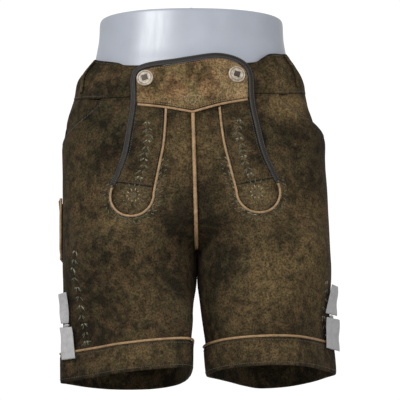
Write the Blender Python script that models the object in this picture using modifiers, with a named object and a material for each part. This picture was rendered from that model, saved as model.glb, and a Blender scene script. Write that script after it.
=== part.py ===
"""Short suede lederhosen, filled out on a hanging hip form.

The cloth is worked out from tables of horizontal sections. Each side of the garment is a ring
round the body above the crotch and a ring round one leg below it, and every panel, trim and
button takes its points from that surface. Lengths in the tables are in millimetres, heights are
measured up from the hem, the front faces -Y, and left and right are as seen from the front.
"""

import math

import bmesh
import bpy
from mathutils import Matrix, Vector

MM = 0.001
LEFT, RIGHT = -1, 1

# Driving sizes of the garment
CLOTH = 2.0                # suede wall
SEAM = 0.3                 # clearance where two pieces meet
ON_PANEL = 0.8             # clearance under a piece that lies on a panel
ON_WAISTBAND = 1.2         # and under one that lies on the thicker waistband
UNDER_PANEL = 1.2          # and over the part of a piece that slips under a panel
BESIDE_TRIM = 0.4          # clearance beside piping or binding
CROTCH_HEIGHT = 143.0
RISE_TOP = 200.0           # the body starts to part into two legs here
RISE_FULLNESS = 0.12       # keeps the thighs as deep as the body where it parts
CUFF_HEIGHT = 36.0
CUFF_WALL = 2.6
FOLD_EASE = 0.15           # lifts the cuff's piping clear of the leg's side folds
SECTION_ROUNDNESS = 0.88   # 1 is an ellipse, less is squarer
PIPING_RADIUS = 1.6
PIPING_LIFT = ON_PANEL + PIPING_RADIUS
CENTRE_PIPING_RADIUS = 2.4
CENTRE_PIPING_END = 168.0
VALLEY_LIFT = 2.2          # keeps its lower end out of the valley between the legs
BINDING_WIDTH = 7.0
BINDING_WALL = 3.0
BINDING_CROWN = (-0.5, 0.3, -0.5)      # how its edges drop and its middle rises
BINDING_CLIMB = (325.0, 355.0)         # heights between which it climbs onto the waistband
TILT_DEGREES = 1.6         # the garment hangs a little lower on its left
TILT_HEIGHT = 330.0

# Driving sizes of the display
FORM_TOP = 472.0
FORM_SHIFT = -2.3
LOOP_WIRE = 3.0
LOOP_WIDTH = 14.0
LOOP_HEIGHT = 21.0
HANG_HEIGHT = FORM_TOP + LOOP_HEIGHT - LOOP_WIRE

# Rings round the body: height, half width, front depth, back depth
BODY = (
    (200, 173.0, 104.0, 122.0),
    (240, 172.0, 105.5, 126.0),
    (270, 171.0, 106.0, 124.0),
    (300, 170.0, 106.0, 121.0),
    (313, 169.5, 105.5, 119.0),
    (326, 164.0, 105.0, 117.0),
    (343, 157.5, 104.0, 112.0),
    (370, 150.0, 101.0, 105.0),
    (393, 145.6, 97.0, 98.0),
    (405, 138.0, 94.0, 92.0),
    (420, 127.0, 90.0, 86.0),
    (434, 121.0, 87.0, 84.0),
)

# Rings round one leg: height, outer x, inner x, front depth, back depth
LEG = (
    (0, 178.5, 11.0, 92.0, 88.0),
    (36, 177.0, 9.0, 93.0, 90.0),
    (60, 176.0, 6.5, 94.0, 94.0),
    (116, 174.6, 1.2, 98.0, 102.0),
    (143, 173.8, 0.6, 100.0, 108.0),
    (200, 173.0, 0.6, 104.0, 122.0),
)

# How the hips sit off centre: height, extra half width on the left, and on the right
HIP_EASE = (
    (270, 0.0, 0.0),
    (287, 0.6, 0.6),
    (303, 1.0, 2.0),
    (313, 0.5, 0.5),
    (326, 3.5, -1.5),
    (333, 5.2, -2.6),
    (349, 6.5, -3.9),
    (364, 5.2, -2.6),
    (380, 3.9, -1.3),
    (396, 3.9, -2.0),
    (412, 2.6, 0.0),
    (425, 2.6, 1.3),
    (434, 2.6, 1.3),
)

# The pressed section of each leg at its hem, from the inseam round the back to the side seam and
# on round the front: share of the way from the leg's inner edge to its outer edge, y
HEM_SECTION = {
    LEFT: (
        (0.03, -20), (0.10, 34), (0.20, 60), (0.316, 72), (0.436, 74), (0.555, 70), (0.675, 60),
        (0.83, 36), (0.961, 8), (1.0, 0), (0.961, -6), (0.86, -20), (0.71, -42), (0.579, -64),
        (0.412, -82), (0.281, -92), (0.149, -99), (0.054, -98), (0.012, -88), (0.012, -60),
        (0.03, -20),
    ),
    RIGHT: (
        (0.0, -20), (0.09, 6), (0.185, 34), (0.293, 68), (0.40, 92), (0.519, 92), (0.639, 82),
        (0.80, 50), (0.90, 14), (0.96, -8), (0.935, -22), (0.85, -52), (0.71, -84),
        (0.567, -97), (0.412, -99), (0.269, -93), (0.137, -78), (0.036, -52), (0.0, -34),
        (0.0, -20),
    ),
}
HEM_FULL, HEM_FADED = 60.0, 150.0

# Where the waistband meets the panels: girth q, height
WAIST_SEAM = ((-1.0, 376), (-0.5, 373), (0.0, 370), (0.3, 362), (0.5, 357), (1.0, 350))

# The waistband's top edge: girth q, height on the left, and on the right
WAIST_TOP = (
    (-1.0, 431, 431), (-0.5, 425, 425), (-0.1, 421.5, 421.5), (0.15, 420.5, 420.5),
    (0.3, 414.5, 416.5), (0.47, 408, 412.5), (0.57, 403.5, 404.5), (0.64, 398.5, 397.7),
    (1.0, 392, 392),
)

# The slanted pocket mouth, from the side seam up to the waistband: share of the rise, girth q
POCKET_MOUTH = ((0.0, 0.0), (0.06, 0.07), (0.2, 0.2), (0.42, 0.35), (0.58, 0.42), (0.78, 0.475), (1.0, 0.5))
MOUTH_START = 310.0
POCKET_GAPE = 3.2

# Heights of a panel's rows from inside the cuff to the pocket, then shares of the way from the
# pocket's lower end to the waistband seam
PANEL_ROWS = (26, 46, 70, 95, 120, 140, 156, 172, 188, 204, 230, 256, 284)
FRONT_RISE = (0.0, 0.06, 0.13, 0.20, 0.30, 0.42, 0.58, 0.78, 1.0)
BACK_RISE = (0.0, 0.25, 0.5, 0.75, 1.0)
PANEL_COLUMNS = 14
GIRTH_SPAN = 250.0         # length of one step of q, for measuring folds

# Large folds: side, start q, start height, end q, end height, half width, rise
FOLDS = (
    (LEFT, 0.45, 121, 0.64, 45, 11, -3.2),
    (LEFT, 0.80, 182, 0.55, 172, 16, -1.8),
    (LEFT, 0.30, 240, 0.34, 150, 16, 1.6),
    (LEFT, -0.80, 190, -0.40, 178, 14, -2.6),
    (LEFT, -0.72, 112, -0.48, 58, 12, -2.4),
    (RIGHT, 0.78, 184, 0.36, 174, 12, -2.2),
    (RIGHT, 0.74, 150, 0.38, 146, 12, -2.2),
    (RIGHT, 0.60, 110, 0.36, 70, 14, -1.8),
    (RIGHT, -0.78, 182, -0.38, 192, 14, -2.6),
    (RIGHT, -0.66, 120, -0.36, 84, 12, -2.2),
)

# The yoke's lower edge, a shallow V that rises more to the right: x, height
YOKE_SEAM = ((-73, 342.7), (-35, 336.5), (-4, 330), (0, 329.3), (4, 330.2), (35, 338.4), (73, 346))

# The rest of the drop-front flap, mirrored about x = 0: x, height
FLAP_EDGE = 75.0
SLIT = ((75.0, 374), (75.5, 345), (80.5, 315), (87.5, 281), (96.0, 258), (104.5, 240))
TONGUE_EDGE = ((34.0, 337), (35.5, 315), (38.5, 288), (43.5, 265), (48.0, 245), (52.5, 225))
TIP_CENTRE = (80.0, 225.0)
TIP_RADIUS = 27.5
TIP_PIPING_TURN = 204.0    # degrees of the tip's circle that its piping follows
TIP_SEAM_INNER = 233.0
TIP_SEAM_OUTER = 243.0
TONGUE_COLUMNS = 4

# Upper edge of the flap, which rises to the right: x, height
FLAP_TOP = (
    (-74.5, 378), (-72.5, 385), (-67, 390.5), (-58, 393.5), (-43, 395.8), (-20, 398), (0, 400.8),
    (29, 404.5), (48, 402.5), (62, 396.5), (71, 388), (74.5, 378),
)

# Buttons: name, x, height, turn of the square centre in degrees
BUTTONS = (("left", -59.2, 376.2, 18.0), ("right", 56.8, 377.7, -16.0))
BUTTON_RADIUS = 11.0
BUTTON_INSET = 7.4
INSET_WALL = 1.2

# Belt loops: name, side, girth q, lower height, upper height
BELT_LOOPS = (
    ("front_left", LEFT, 0.27, 371, 413),
    ("front_right", RIGHT, 0.28, 371, 414),
    ("back_left", LEFT, -0.55, 380, 423),
    ("back_right", RIGHT, -0.55, 380, 423),
)
BELT_LOOP_WIDTH = 9.0
BELT_LOOP_WALL = 1.8
BELT_LOOP_STAND = 1.2      # how far a loop's middle stands off the waistband

# The knife pocket on the left outer thigh
KNIFE_FRONT, KNIFE_BACK = 0.045, -0.16
KNIFE_BOTTOM, KNIFE_TOP = 166.0, 240.0
KNIFE_GAPE = 3.4
KNIFE_CLEARANCE = 0.6
KNIFE_PIPING_DROP = 2.4    # how far its piping runs below the patch

# Ribbon loops at the side of each cuff: name, side, lower and upper height, girth q of the outer
# fold, of the other fold's lower and upper end, lift off the leg, flare of the outer fold's ends
TIES = (
    ("left_upper", LEFT, 76, 115, 0.03, 0.06, 0.10, 1.2, 6.5, 2.5),
    ("left_lower", LEFT, 28, 70.4, 0.03, 0.105, 0.08, 3.2, 2.0, 6.0),
    ("right_upper", RIGHT, 76, 115, 0.01, 0.12, 0.08, 1.2, 0.5, 2.8),
    ("right_lower", RIGHT, 29, 70.4, 0.01, 0.15, 0.12, 3.2, 0.0, 2.5),
)
RIBBON_WALL = 1.2
RIBBON_GAP = 2.6
KNOT_GIRTH, KNOT_HEIGHT, KNOT_LIFT = 0.045, 73.1, 5.0
KNOT_RADIUS = 2.4

# Rings of the hip form: height, half width, front depth, back depth
FORM = (
    (184, 24, 12, 14),
    (188, 72, 36, 44),
    (197, 110, 58, 72),
    (212, 134, 76, 92),
    (236, 146, 88, 105),
    (280, 150, 95, 110),
    (330, 146, 95, 104),
    (370, 138, 93, 96),
    (400, 129.5, 89, 88),
    (422, 125.2, 85.4, 81.6),
    (446, 121, 84.5, 80.5),
    (466, 120, 84, 80),
    (471, 119, 83, 79),
    (472, 117.5, 81.5, 77.5),
)


def table_value(table, key, column=1):
    """Read one column of a table at any key, along a smooth curve through its rows."""
    keys = [row[0] for row in table]
    values = [row[column] for row in table]
    if key <= keys[0]:
        return values[0]
    if key >= keys[-1]:
        return values[-1]
    low = max(index for index, start in enumerate(keys[:-1]) if start <= key)

    def slope(index):
        before = max(index - 1, 0)
        after = min(index + 1, len(keys) - 1)
        return (values[after] - values[before]) / (keys[after] - keys[before])

    span = keys[low + 1] - keys[low]
    t = (key - keys[low]) / span
    start_part = (2 * t ** 3 - 3 * t ** 2 + 1) * values[low] + (t ** 3 - 2 * t ** 2 + t) * span * slope(low)
    end_part = (3 * t ** 2 - 2 * t ** 3) * values[low + 1] + (t ** 3 - t ** 2) * span * slope(low + 1)
    return start_part + end_part


def smooth_step(value):
    """Ease from 0 to 1."""
    value = min(max(value, 0.0), 1.0)
    return value * value * (3.0 - 2.0 * value)


def signed_power(value, power):
    return math.copysign(abs(value) ** power, value)


def ring_point(angle, half_width, front, back, power=SECTION_ROUNDNESS):
    """A point of a horizontal section, at an angle from its +X end towards the front."""
    depth = front if angle >= 0 else back
    return (
        half_width * signed_power(math.cos(angle), power),
        -depth * signed_power(math.sin(angle), power),
    )


def girth_table(outline):
    """Give each row of a leg's outline its girth q, by length: 0 at the side seam, +-1 at the inseam."""
    width = LEG[0][1] - LEG[0][2]
    ring = [outline[-2], *outline, outline[1]]    # one row past the inseam, so the curve runs on
    lengths = [0.0]
    for before, after in zip(ring, ring[1:]):
        lengths.append(lengths[-1] + math.hypot((after[0] - before[0]) * width, after[1] - before[1]))
    seam = lengths[max(range(len(ring)), key=lambda index: ring[index][0])]
    table = []
    for length, (share, y) in zip(lengths, ring):
        half = seam - lengths[1] if length <= seam else lengths[-2] - seam
        table.append(((length - seam) / half, share, y))
    return table


HEM_TABLE = {side: girth_table(outline) for side, outline in HEM_SECTION.items()}


def side_column(side):
    """The column of a table that has one for the left side, then one for the right."""
    return 1 if side == LEFT else 2


def base_point(side, q, height):
    """The outer face of the cloth.

    q is 0 at the side seam, 1 at the centre front or the inseam, and -1 at the centre back.
    """
    body_x, body_y = ring_point(
        q * math.pi / 2,
        table_value(BODY, height, 1) + table_value(HIP_EASE, height, side_column(side)),
        table_value(BODY, height, 2),
        table_value(BODY, height, 3),
    )
    leg_share = smooth_step((RISE_TOP - height) / (RISE_TOP - CROTCH_HEIGHT))
    if leg_share > 0.0:
        outer = table_value(LEG, height, 1)
        inner = table_value(LEG, height, 2)
        leg_x, leg_y = ring_point(
            q * math.pi,
            (outer - inner) / 2,
            table_value(LEG, height, 3),
            table_value(LEG, height, 4),
        )
        leg_x += (outer + inner) / 2
        hem_share = smooth_step((HEM_FADED - height) / (HEM_FADED - HEM_FULL))
        hem_x = inner + table_value(HEM_TABLE[side], q, 1) * (outer - inner)
        leg_x += (hem_x - leg_x) * hem_share
        leg_y += (table_value(HEM_TABLE[side], q, 2) - leg_y) * hem_share
        fullness = 1.0 + 4.0 * RISE_FULLNESS * leg_share * (1.0 - leg_share)
        body_x += (leg_x - body_x) * leg_share
        body_y = (body_y + (leg_y - body_y) * leg_share) * fullness
    return Vector((side * body_x, body_y, height))


def fold_rise(side, q, height):
    """How far the large folds push the cloth out at a point."""
    rise = 0.0
    for fold_side, q_start, low, q_end, high, half_width, amount in FOLDS:
        if fold_side != side:
            continue
        start = Vector((q_start * GIRTH_SPAN, low))
        along = Vector((q_end * GIRTH_SPAN, high)) - start
        offset = Vector((q * GIRTH_SPAN, height)) - start
        share = min(max(offset.dot(along) / along.length_squared, 0.0), 1.0)
        distance = (offset - along * share).length
        fade = math.sin(math.pi * (0.08 + 0.84 * share))
        rise += amount * fade * math.exp(-(distance / half_width) ** 2)
    return rise


def cloth_point(side, q, height, lift=0.0):
    """A point on the folded cloth, or lifted off it along its normal."""
    step_q, step_height = 0.004, 1.0
    before = base_point(side, max(q - step_q, -1.0), height)
    after = base_point(side, min(q + step_q, 1.0), height)
    below = base_point(side, q, height - step_height)
    above = base_point(side, q, height + step_height)
    normal = (after - before).cross(above - below) * -side
    return base_point(side, q, height) + normal.normalized() * (lift + fold_rise(side, q, height))


def girth_at(x, height):
    """The q of the front point at a given x, found by halving."""
    side = LEFT if x < 0 else RIGHT
    low, high = 0.0, 1.0
    for _ in range(24):
        middle = (low + high) / 2
        if abs(base_point(side, middle, height).x) > abs(x):
            low = middle
        else:
            high = middle
    return (low + high) / 2


def front_point(x, height, lift=0.0):
    side = LEFT if x < 0 else RIGHT
    return cloth_point(side, girth_at(x, height), height, lift)


def share_of(index, count):
    return index / (count - 1)


def between(start, end, share):
    return start + (end - start) * share


def seam_q(q):
    """Move a girth value off the seams at -1, 0 and 1 by half the clearance."""
    trim = SEAM / GIRTH_SPAN
    if abs(q) > 1 - trim:
        return math.copysign(1 - trim, q)
    if abs(q) < trim:
        return math.copysign(trim, q)
    return q


def clear_scene():
    for old in list(bpy.data.objects):
        bpy.data.objects.remove(old, do_unlink=True)


def make_material(name, colour, roughness, metallic=0.0):
    material = bpy.data.materials.new(name)
    material.use_nodes = True
    shader = material.node_tree.nodes["Principled BSDF"]
    shader.inputs["Base Color"].default_value = (*colour, 1.0)
    shader.inputs["Roughness"].default_value = roughness
    shader.inputs["Metallic"].default_value = metallic
    return material


def place(obj, material, parent):
    """Put an object in the collection, under its parent, with its material."""
    COLLECTION.objects.link(obj)
    obj.parent = parent
    if obj.data and material:
        obj.data.materials.append(material)
    return obj


def mesh_from_rows(name, rows, closed=False, flip=False):
    """An open quad surface through rows of points given in millimetres."""
    columns = len(rows[0])
    vertices = [tuple(point * MM) for row in rows for point in row]
    faces = []
    for row in range(len(rows) - 1):
        for column in range(columns if closed else columns - 1):
            after = (column + 1) % columns
            face = (
                row * columns + column,
                row * columns + after,
                (row + 1) * columns + after,
                (row + 1) * columns + column,
            )
            faces.append(face[::-1] if flip else face)
    mesh = bpy.data.meshes.new(name)
    mesh.from_pydata(vertices, [], faces)
    mesh.shade_smooth()
    return mesh


def add_cloth(name, rows, wall, material, closed=False, flip=False, parent=None):
    """A cloth piece: its outer face as a surface, with Solidify giving the wall inside it."""
    obj = bpy.data.objects.new(name, mesh_from_rows(name, rows, closed, flip))
    shell = obj.modifiers.new("wall", "SOLIDIFY")
    shell.thickness = wall * MM
    shell.offset = -1.0
    return place(obj, material, parent or GARMENT)


def add_shell(name, outer, inner, material):
    """A cloth piece from both of its faces, so that its edges stand square to the surface."""
    solid = bmesh.new()
    rims = []
    for rows in (outer, inner):
        skin = [[solid.verts.new(point * MM) for point in row] for row in rows]
        for lower, upper in zip(skin, skin[1:]):
            for column in range(len(lower) - 1):
                corners = (lower[column], lower[column + 1], upper[column + 1], upper[column])
                solid.faces.new(corners)
        first_edge = [row[0] for row in skin]
        last_edge = [row[-1] for row in skin]
        rims.append(skin[0] + last_edge[1:] + skin[-1][-2::-1] + first_edge[-2:0:-1])
    for index in range(len(rims[0])):
        after = (index + 1) % len(rims[0])
        solid.faces.new((rims[0][index], rims[0][after], rims[1][after], rims[1][index]))
    bmesh.ops.recalc_face_normals(solid, faces=solid.faces)
    mesh = bpy.data.meshes.new(name)
    solid.to_mesh(mesh)
    solid.free()
    mesh.shade_smooth()
    return place(bpy.data.objects.new(name, mesh), material, GARMENT)


def add_tube(name, points, radius, material, cyclic=False, parent=None):
    """Piping or wire: a curve with a round bevel and filled caps."""
    curve = bpy.data.curves.new(name, "CURVE")
    curve.dimensions = "3D"
    curve.bevel_depth = radius * MM
    curve.bevel_resolution = 2
    curve.use_fill_caps = not cyclic
    spline = curve.splines.new("POLY")
    spline.points.add(len(points) - 1)
    for spot, point in zip(spline.points, points):
        spot.co = (*(point * MM), 1.0)
    spline.use_cyclic_u = cyclic
    return place(bpy.data.objects.new(name, curve), material, parent or GARMENT)


def add_turned(name, profile, segments, material, parent):
    """A round piece from a profile of radius and height, listed down its outer side."""
    mesh = bpy.data.meshes.new(name)
    mesh.from_pydata(
        [(radius * MM, 0.0, height * MM) for radius, height in profile],
        [(index, index + 1) for index in range(len(profile) - 1)],
        [],
    )
    obj = bpy.data.objects.new(name, mesh)
    screw = obj.modifiers.new("turn", "SCREW")
    screw.steps = segments
    screw.render_steps = segments
    screw.use_merge_vertices = True
    screw.merge_threshold = 0.00005
    screw.use_smooth_shade = False
    return place(obj, material, parent)


def resample(points, count):
    """Even steps along a polyline."""
    lengths = [0.0]
    for before, after in zip(points, points[1:]):
        lengths.append(lengths[-1] + (after - before).length)
    result = []
    for index in range(count):
        target = lengths[-1] * share_of(index, count)
        leg = max(i for i in range(len(lengths) - 1) if lengths[i] <= target + 1e-9)
        share = (target - lengths[leg]) / (lengths[leg + 1] - lengths[leg])
        result.append(points[leg].lerp(points[leg + 1], min(share, 1.0)))
    return result


def table_path(table, count):
    """Flat points (x, height) along a table whose first column is x or whose heights fall."""
    dense = []
    steps = 8
    for index in range((len(table) - 1) * steps + 1):
        key = index / steps
        spots = [(row, values[0]) for row, values in enumerate(table)]
        heights = [(row, values[1]) for row, values in enumerate(table)]
        dense.append(Vector((table_value(spots, key), table_value(heights, key))))
    return resample(dense, count)


def offset_path(path, distance):
    """Move a flat path to its right by a distance."""
    moved = []
    for index, spot in enumerate(path):
        along = path[min(index + 1, len(path) - 1)] - path[max(index - 1, 0)]
        moved.append(spot + Vector((along.y, -along.x)).normalized() * distance)
    return moved


def slit_x(height):
    return table_value([(row[1], row[0]) for row in reversed(SLIT)], height)


def tongue_x(height):
    return table_value([(row[1], row[0]) for row in reversed(TONGUE_EDGE)], height)


def waist_seam(q):
    return table_value(WAIST_SEAM, q)


def panel_heights(q, rise):
    """Heights of a panel's rows at a girth q; the upper ones stretch to meet the waistband seam."""
    return list(PANEL_ROWS) + [between(MOUTH_START, waist_seam(q) - SEAM, share) for share in rise]


def mouth_height(q):
    """Height of the pocket mouth at a girth q below 0.5."""
    share = table_value([(row[1], row[0]) for row in POCKET_MOUTH], q)
    return between(MOUTH_START, waist_seam(q), share)


def front_panel_rows(side, depth):
    """The front panel's points at a depth under its outer face."""
    rows = []
    for level in range(len(PANEL_ROWS) + len(FRONT_RISE)):
        share = FRONT_RISE[max(level - len(PANEL_ROWS), 0)]
        start = table_value(POCKET_MOUTH, share)
        row = []
        for column in range(PANEL_COLUMNS + 1):
            across = column / PANEL_COLUMNS
            q = seam_q(between(start, 1.0, across))
            gape = POCKET_GAPE * max(1.0 - across * 4.0, 0.0) * math.sin(math.pi * share)
            row.append(cloth_point(side, q, panel_heights(q, FRONT_RISE)[level], gape - depth))
        rows.append(row)
    return rows


def front_panel(side, name):
    """Thigh and front of the body, cut away above the slanted pocket mouth."""
    outer = front_panel_rows(side, 0.0)
    return add_shell("front_panel_" + name, outer, front_panel_rows(side, CLOTH), SUEDE)


def back_panel_rows(side, depth):
    """The back panel's points at a depth under its outer face."""
    qs = [seam_q(-column / PANEL_COLUMNS - 1e-6) for column in range(PANEL_COLUMNS + 1)]
    heights = [panel_heights(q, BACK_RISE) for q in qs]
    rows = []
    for level in range(len(PANEL_ROWS) + len(BACK_RISE)):
        rows.append([cloth_point(side, q, column[level], -depth) for q, column in zip(qs, heights)])
    return rows


def back_panel(side, name):
    """Seat and back of the leg."""
    outer = back_panel_rows(side, 0.0)
    return add_shell("back_panel_" + name, outer, back_panel_rows(side, CLOTH), SUEDE)


def hip_facing(side, name):
    """The piece above the pocket mouth; its lower part slips under the front panel."""
    under = -CLOTH - UNDER_PANEL
    hidden_depth = 18.0
    strip = 12.0
    rows = []
    for level in range(8):
        row = []
        for column in range(11):
            q = seam_q(between(0.0, 0.6, column / 10))
            mouth = mouth_height(min(q, 0.5))
            high = waist_seam(q) - SEAM
            low = min(mouth - hidden_depth, high - 2 * hidden_depth)
            height = between(low, high, level / 7)
            shown = min(height - mouth, (0.5 - q) * GIRTH_SPAN) - strip
            row.append(cloth_point(side, q, height, under * (1.0 - smooth_step(shown / hidden_depth))))
        rows.append(row)
    return add_cloth("hip_facing_" + name, rows, CLOTH, SUEDE, flip=side == RIGHT)


def waistband(side, name):
    """Half of the waistband, from under the flap round to the centre back."""
    rise = 0.4
    rows = []
    for level in range(5):
        row = []
        for column in range(25):
            q = seam_q(between(1.0, -1.0, column / 24))
            top = table_value(WAIST_TOP, q, side_column(side))
            height = between(waist_seam(q) + SEAM, top, level / 4)
            row.append(cloth_point(side, q, height, rise))
        rows.append(row)
    return add_cloth("waistband_" + name, rows, CLOTH + rise, SUEDE, flip=side == LEFT)


def flap_yoke():
    """The tan piece across the top of the flap, with its lower edge a shallow V."""
    margin = BINDING_WIDTH / 2 + 0.5
    edge = FLAP_EDGE - margin
    upper = offset_path(table_path(FLAP_TOP, 17), margin)
    rows = []
    for level in range(6):
        row = []
        for column, top in enumerate(upper):
            x = between(-edge, edge, column / 16)
            low = Vector((x, table_value(YOKE_SEAM, x) + PIPING_RADIUS + BESIDE_TRIM))
            spot = low.lerp(top, level / 5)
            row.append(front_point(spot.x, spot.y, ON_WAISTBAND + CLOTH))
        rows.append(row)
    return add_cloth("flap_yoke", rows, CLOTH, TAN_SUEDE)


def mirrored_rows(side, rows):
    """Rows of x, height and lift on the right, turned into points on one side of the front."""
    return [[front_point(side * x, height, lift) for x, height, lift in row] for row in rows]


def tongue(side, name):
    """The dark piece between the slit's binding and the tan piping."""
    inset = PIPING_RADIUS + BESIDE_TRIM
    outset = BINDING_WIDTH / 2 + BESIDE_TRIM
    rows = []
    for level in range(10):
        row = []
        for column in range(TONGUE_COLUMNS + 1):
            share = column / TONGUE_COLUMNS
            bottom = between(TIP_SEAM_INNER, TIP_SEAM_OUTER, share) + SEAM
            top_x = between(TONGUE_EDGE[0][0], FLAP_EDGE, share)
            top = table_value(YOKE_SEAM, side * top_x) - PIPING_RADIUS - BESIDE_TRIM
            height = between(bottom, top, level / 9)
            x = between(tongue_x(height) + inset, slit_x(height) - outset, share)
            row.append((x, height, ON_PANEL + CLOTH))
        rows.append(row)
    return add_cloth("tongue_" + name, mirrored_rows(side, rows), CLOTH, SUEDE, flip=side == LEFT)


def tongue_tip(side, name):
    """The round end of a tongue, below its cross seam."""
    radius = TIP_RADIUS - PIPING_RADIUS - BESIDE_TRIM
    rows = []
    for level in range(6):
        angle = math.radians(between(80.0, 0.0, level / 5))
        half = radius * math.cos(angle)
        height = TIP_CENTRE[1] - radius * math.sin(angle)
        shares = [column / TONGUE_COLUMNS for column in range(TONGUE_COLUMNS + 1)]
        xs = [between(TIP_CENTRE[0] - half, TIP_CENTRE[0] + half, share) for share in shares]
        rows.append([(x, height, ON_PANEL + CLOTH) for x in xs])
    top = []
    for share in shares:
        height = between(TIP_SEAM_INNER, TIP_SEAM_OUTER, share) - SEAM
        inner = tongue_x(height) + PIPING_RADIUS + BESIDE_TRIM
        outer = min(slit_x(height) - BINDING_WIDTH / 2 - BESIDE_TRIM, TIP_CENTRE[0] + radius)
        top.append((between(inner, outer, share), height, ON_PANEL + CLOTH))
    rows.append(top)
    return add_cloth("tongue_tip_" + name, mirrored_rows(side, rows), CLOTH, SUEDE, flip=side == LEFT)


def flap_binding():
    """Grey leather folded over the flap's edge, up one slit, across the top and down the other."""
    right = table_path(SLIT, 14)
    left = [Vector((-spot.x, spot.y)) for spot in reversed(right)]
    path = left + table_path(FLAP_TOP, 20) + right
    half = BINDING_WIDTH / 2
    lanes = [offset_path(path, distance) for distance in (-half, 0.0, half)]
    rows = []
    for spots in zip(*lanes):
        over_yoke = smooth_step((spots[1].y - BINDING_CLIMB[0]) / (BINDING_CLIMB[1] - BINDING_CLIMB[0]))
        lift = between(ON_PANEL, ON_WAISTBAND, over_yoke) + BINDING_WALL
        lifts = [lift + crown for crown in BINDING_CROWN]
        rows.append([front_point(spot.x, spot.y, edge_lift) for spot, edge_lift in zip(spots, lifts)])
    return add_cloth("flap_binding", rows, BINDING_WALL + BINDING_CROWN[0], GREY_LEATHER, flip=True)


def yoke_piping():
    end = FLAP_EDGE - BINDING_WIDTH / 2 - PIPING_RADIUS
    xs = [between(-end, end, index / 18) for index in range(19)]
    points = [front_point(x, table_value(YOKE_SEAM, x), PIPING_LIFT) for x in xs]
    return add_tube("yoke_piping", points, PIPING_RADIUS, TAN_LEATHER)


def centre_piping():
    """Down the centre front seam, into the valley where the legs part; thicker than the rest."""
    bottom = CENTRE_PIPING_END
    top = table_value(YOKE_SEAM, 0.0) - PIPING_RADIUS - 0.6
    points = []
    for index in range(16):
        height = between(bottom, top, index / 15)
        centre = base_point(RIGHT, 1.0, height)
        rise = base_point(RIGHT, 1.0, height + 1.0) - base_point(RIGHT, 1.0, height - 1.0)
        outward = Vector((0.0, -rise.z, rise.y)).normalized()
        valley = VALLEY_LIFT * smooth_step((RISE_TOP - 6.0 - height) / 26.0)
        spot = centre + outward * (ON_PANEL + CENTRE_PIPING_RADIUS + valley)
        points.append(Vector((0.0, spot.y, spot.z)))
    return add_tube("centre_piping", points, CENTRE_PIPING_RADIUS, TAN_LEATHER)


def tongue_piping(side, name):
    """Down the inner edge of a tongue and round its tip to the slit."""
    path = table_path(TONGUE_EDGE, 12)
    path[0].y -= PIPING_RADIUS * 2
    for index in range(1, 15):
        angle = math.radians(180.0 + TIP_PIPING_TURN * index / 14)
        path.append(Vector((
            TIP_CENTRE[0] + TIP_RADIUS * math.cos(angle),
            TIP_CENTRE[1] + TIP_RADIUS * math.sin(angle),
        )))
    points = [front_point(side * spot.x, spot.y, PIPING_LIFT) for spot in path]
    return add_tube("tongue_piping_" + name, points, PIPING_RADIUS, TAN_LEATHER)


def cuff_columns():
    """The girth values of the panels' own columns, once round a leg."""
    return [column / PANEL_COLUMNS - 1.0 for column in range(2 * PANEL_COLUMNS)]


def cuff(side, name):
    """A band round the leg's end."""
    lift = ON_PANEL + CUFF_WALL
    heights = (0.0, CUFF_HEIGHT / 2, CUFF_HEIGHT)
    rows = [[cloth_point(side, q, height, lift) for q in cuff_columns()] for height in heights]
    return add_cloth("cuff_" + name, rows, CUFF_WALL, SUEDE, closed=True, flip=side == RIGHT)


def cuff_piping(side, name):
    height = CUFF_HEIGHT + PIPING_RADIUS + SEAM
    points = [cloth_point(side, q, height, PIPING_LIFT + FOLD_EASE) for q in cuff_columns()]
    return add_tube("cuff_piping_" + name, points, PIPING_RADIUS, TAN_LEATHER, cyclic=True)


def knife_outline(share):
    """Front and back girth of the knife pocket at a share of its height; the bottom tapers."""
    middle = (KNIFE_FRONT + KNIFE_BACK) / 2
    half = (KNIFE_FRONT - KNIFE_BACK) / 2 * (0.35 + 0.65 * math.sin(math.pi / 2 * min(share * 2.2, 1.0)))
    return middle + half, middle - half


def knife_pocket():
    """A narrow patch on the outer thigh whose mouth stands a little open."""
    rows = []
    for level in range(8):
        share = level / 7
        front, back = knife_outline(share)
        row = []
        for column in range(7):
            across = column / 6
            gape = KNIFE_GAPE * share ** 2 * math.sin(math.pi * across)
            q = between(front, back, across)
            height = between(KNIFE_BOTTOM, KNIFE_TOP, share)
            row.append(cloth_point(LEFT, q, height, KNIFE_CLEARANCE + CLOTH + gape))
        rows.append(row)
    return add_cloth("knife_pocket", rows, CLOTH, SUEDE, flip=True)


def knife_piping():
    """Round the pocket's front, bottom and back edges."""
    margin = (PIPING_RADIUS + KNIFE_CLEARANCE) / GIRTH_SPAN
    front, back = [], []
    for level in range(9):
        share = 1.0 - level / 8
        height = between(KNIFE_BOTTOM - KNIFE_PIPING_DROP, KNIFE_TOP, share)
        q_front, q_back = knife_outline(share)
        front.append(cloth_point(LEFT, q_front + margin, height, PIPING_LIFT + SEAM))
        back.append(cloth_point(LEFT, q_back - margin, height, PIPING_LIFT + SEAM))
    return add_tube("knife_piping", front + back[::-1], PIPING_RADIUS, TAN_LEATHER)


def belt_loop(name, side, q, low, high):
    """A strip sewn to the waistband at both ends and standing off it between them."""
    half = BELT_LOOP_WIDTH / 2 / GIRTH_SPAN
    rows = []
    for level in range(9):
        share = level / 8
        lift = ON_PANEL + BELT_LOOP_WALL + BELT_LOOP_STAND * math.sin(math.pi * share) ** 0.5
        height = between(low, high, share)
        rows.append([cloth_point(side, q + half * step, height, lift) for step in (-1.0, 0.0, 1.0)])
    return add_cloth("belt_loop_" + name, rows, BELT_LOOP_WALL, SUEDE, flip=side == RIGHT)


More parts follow.
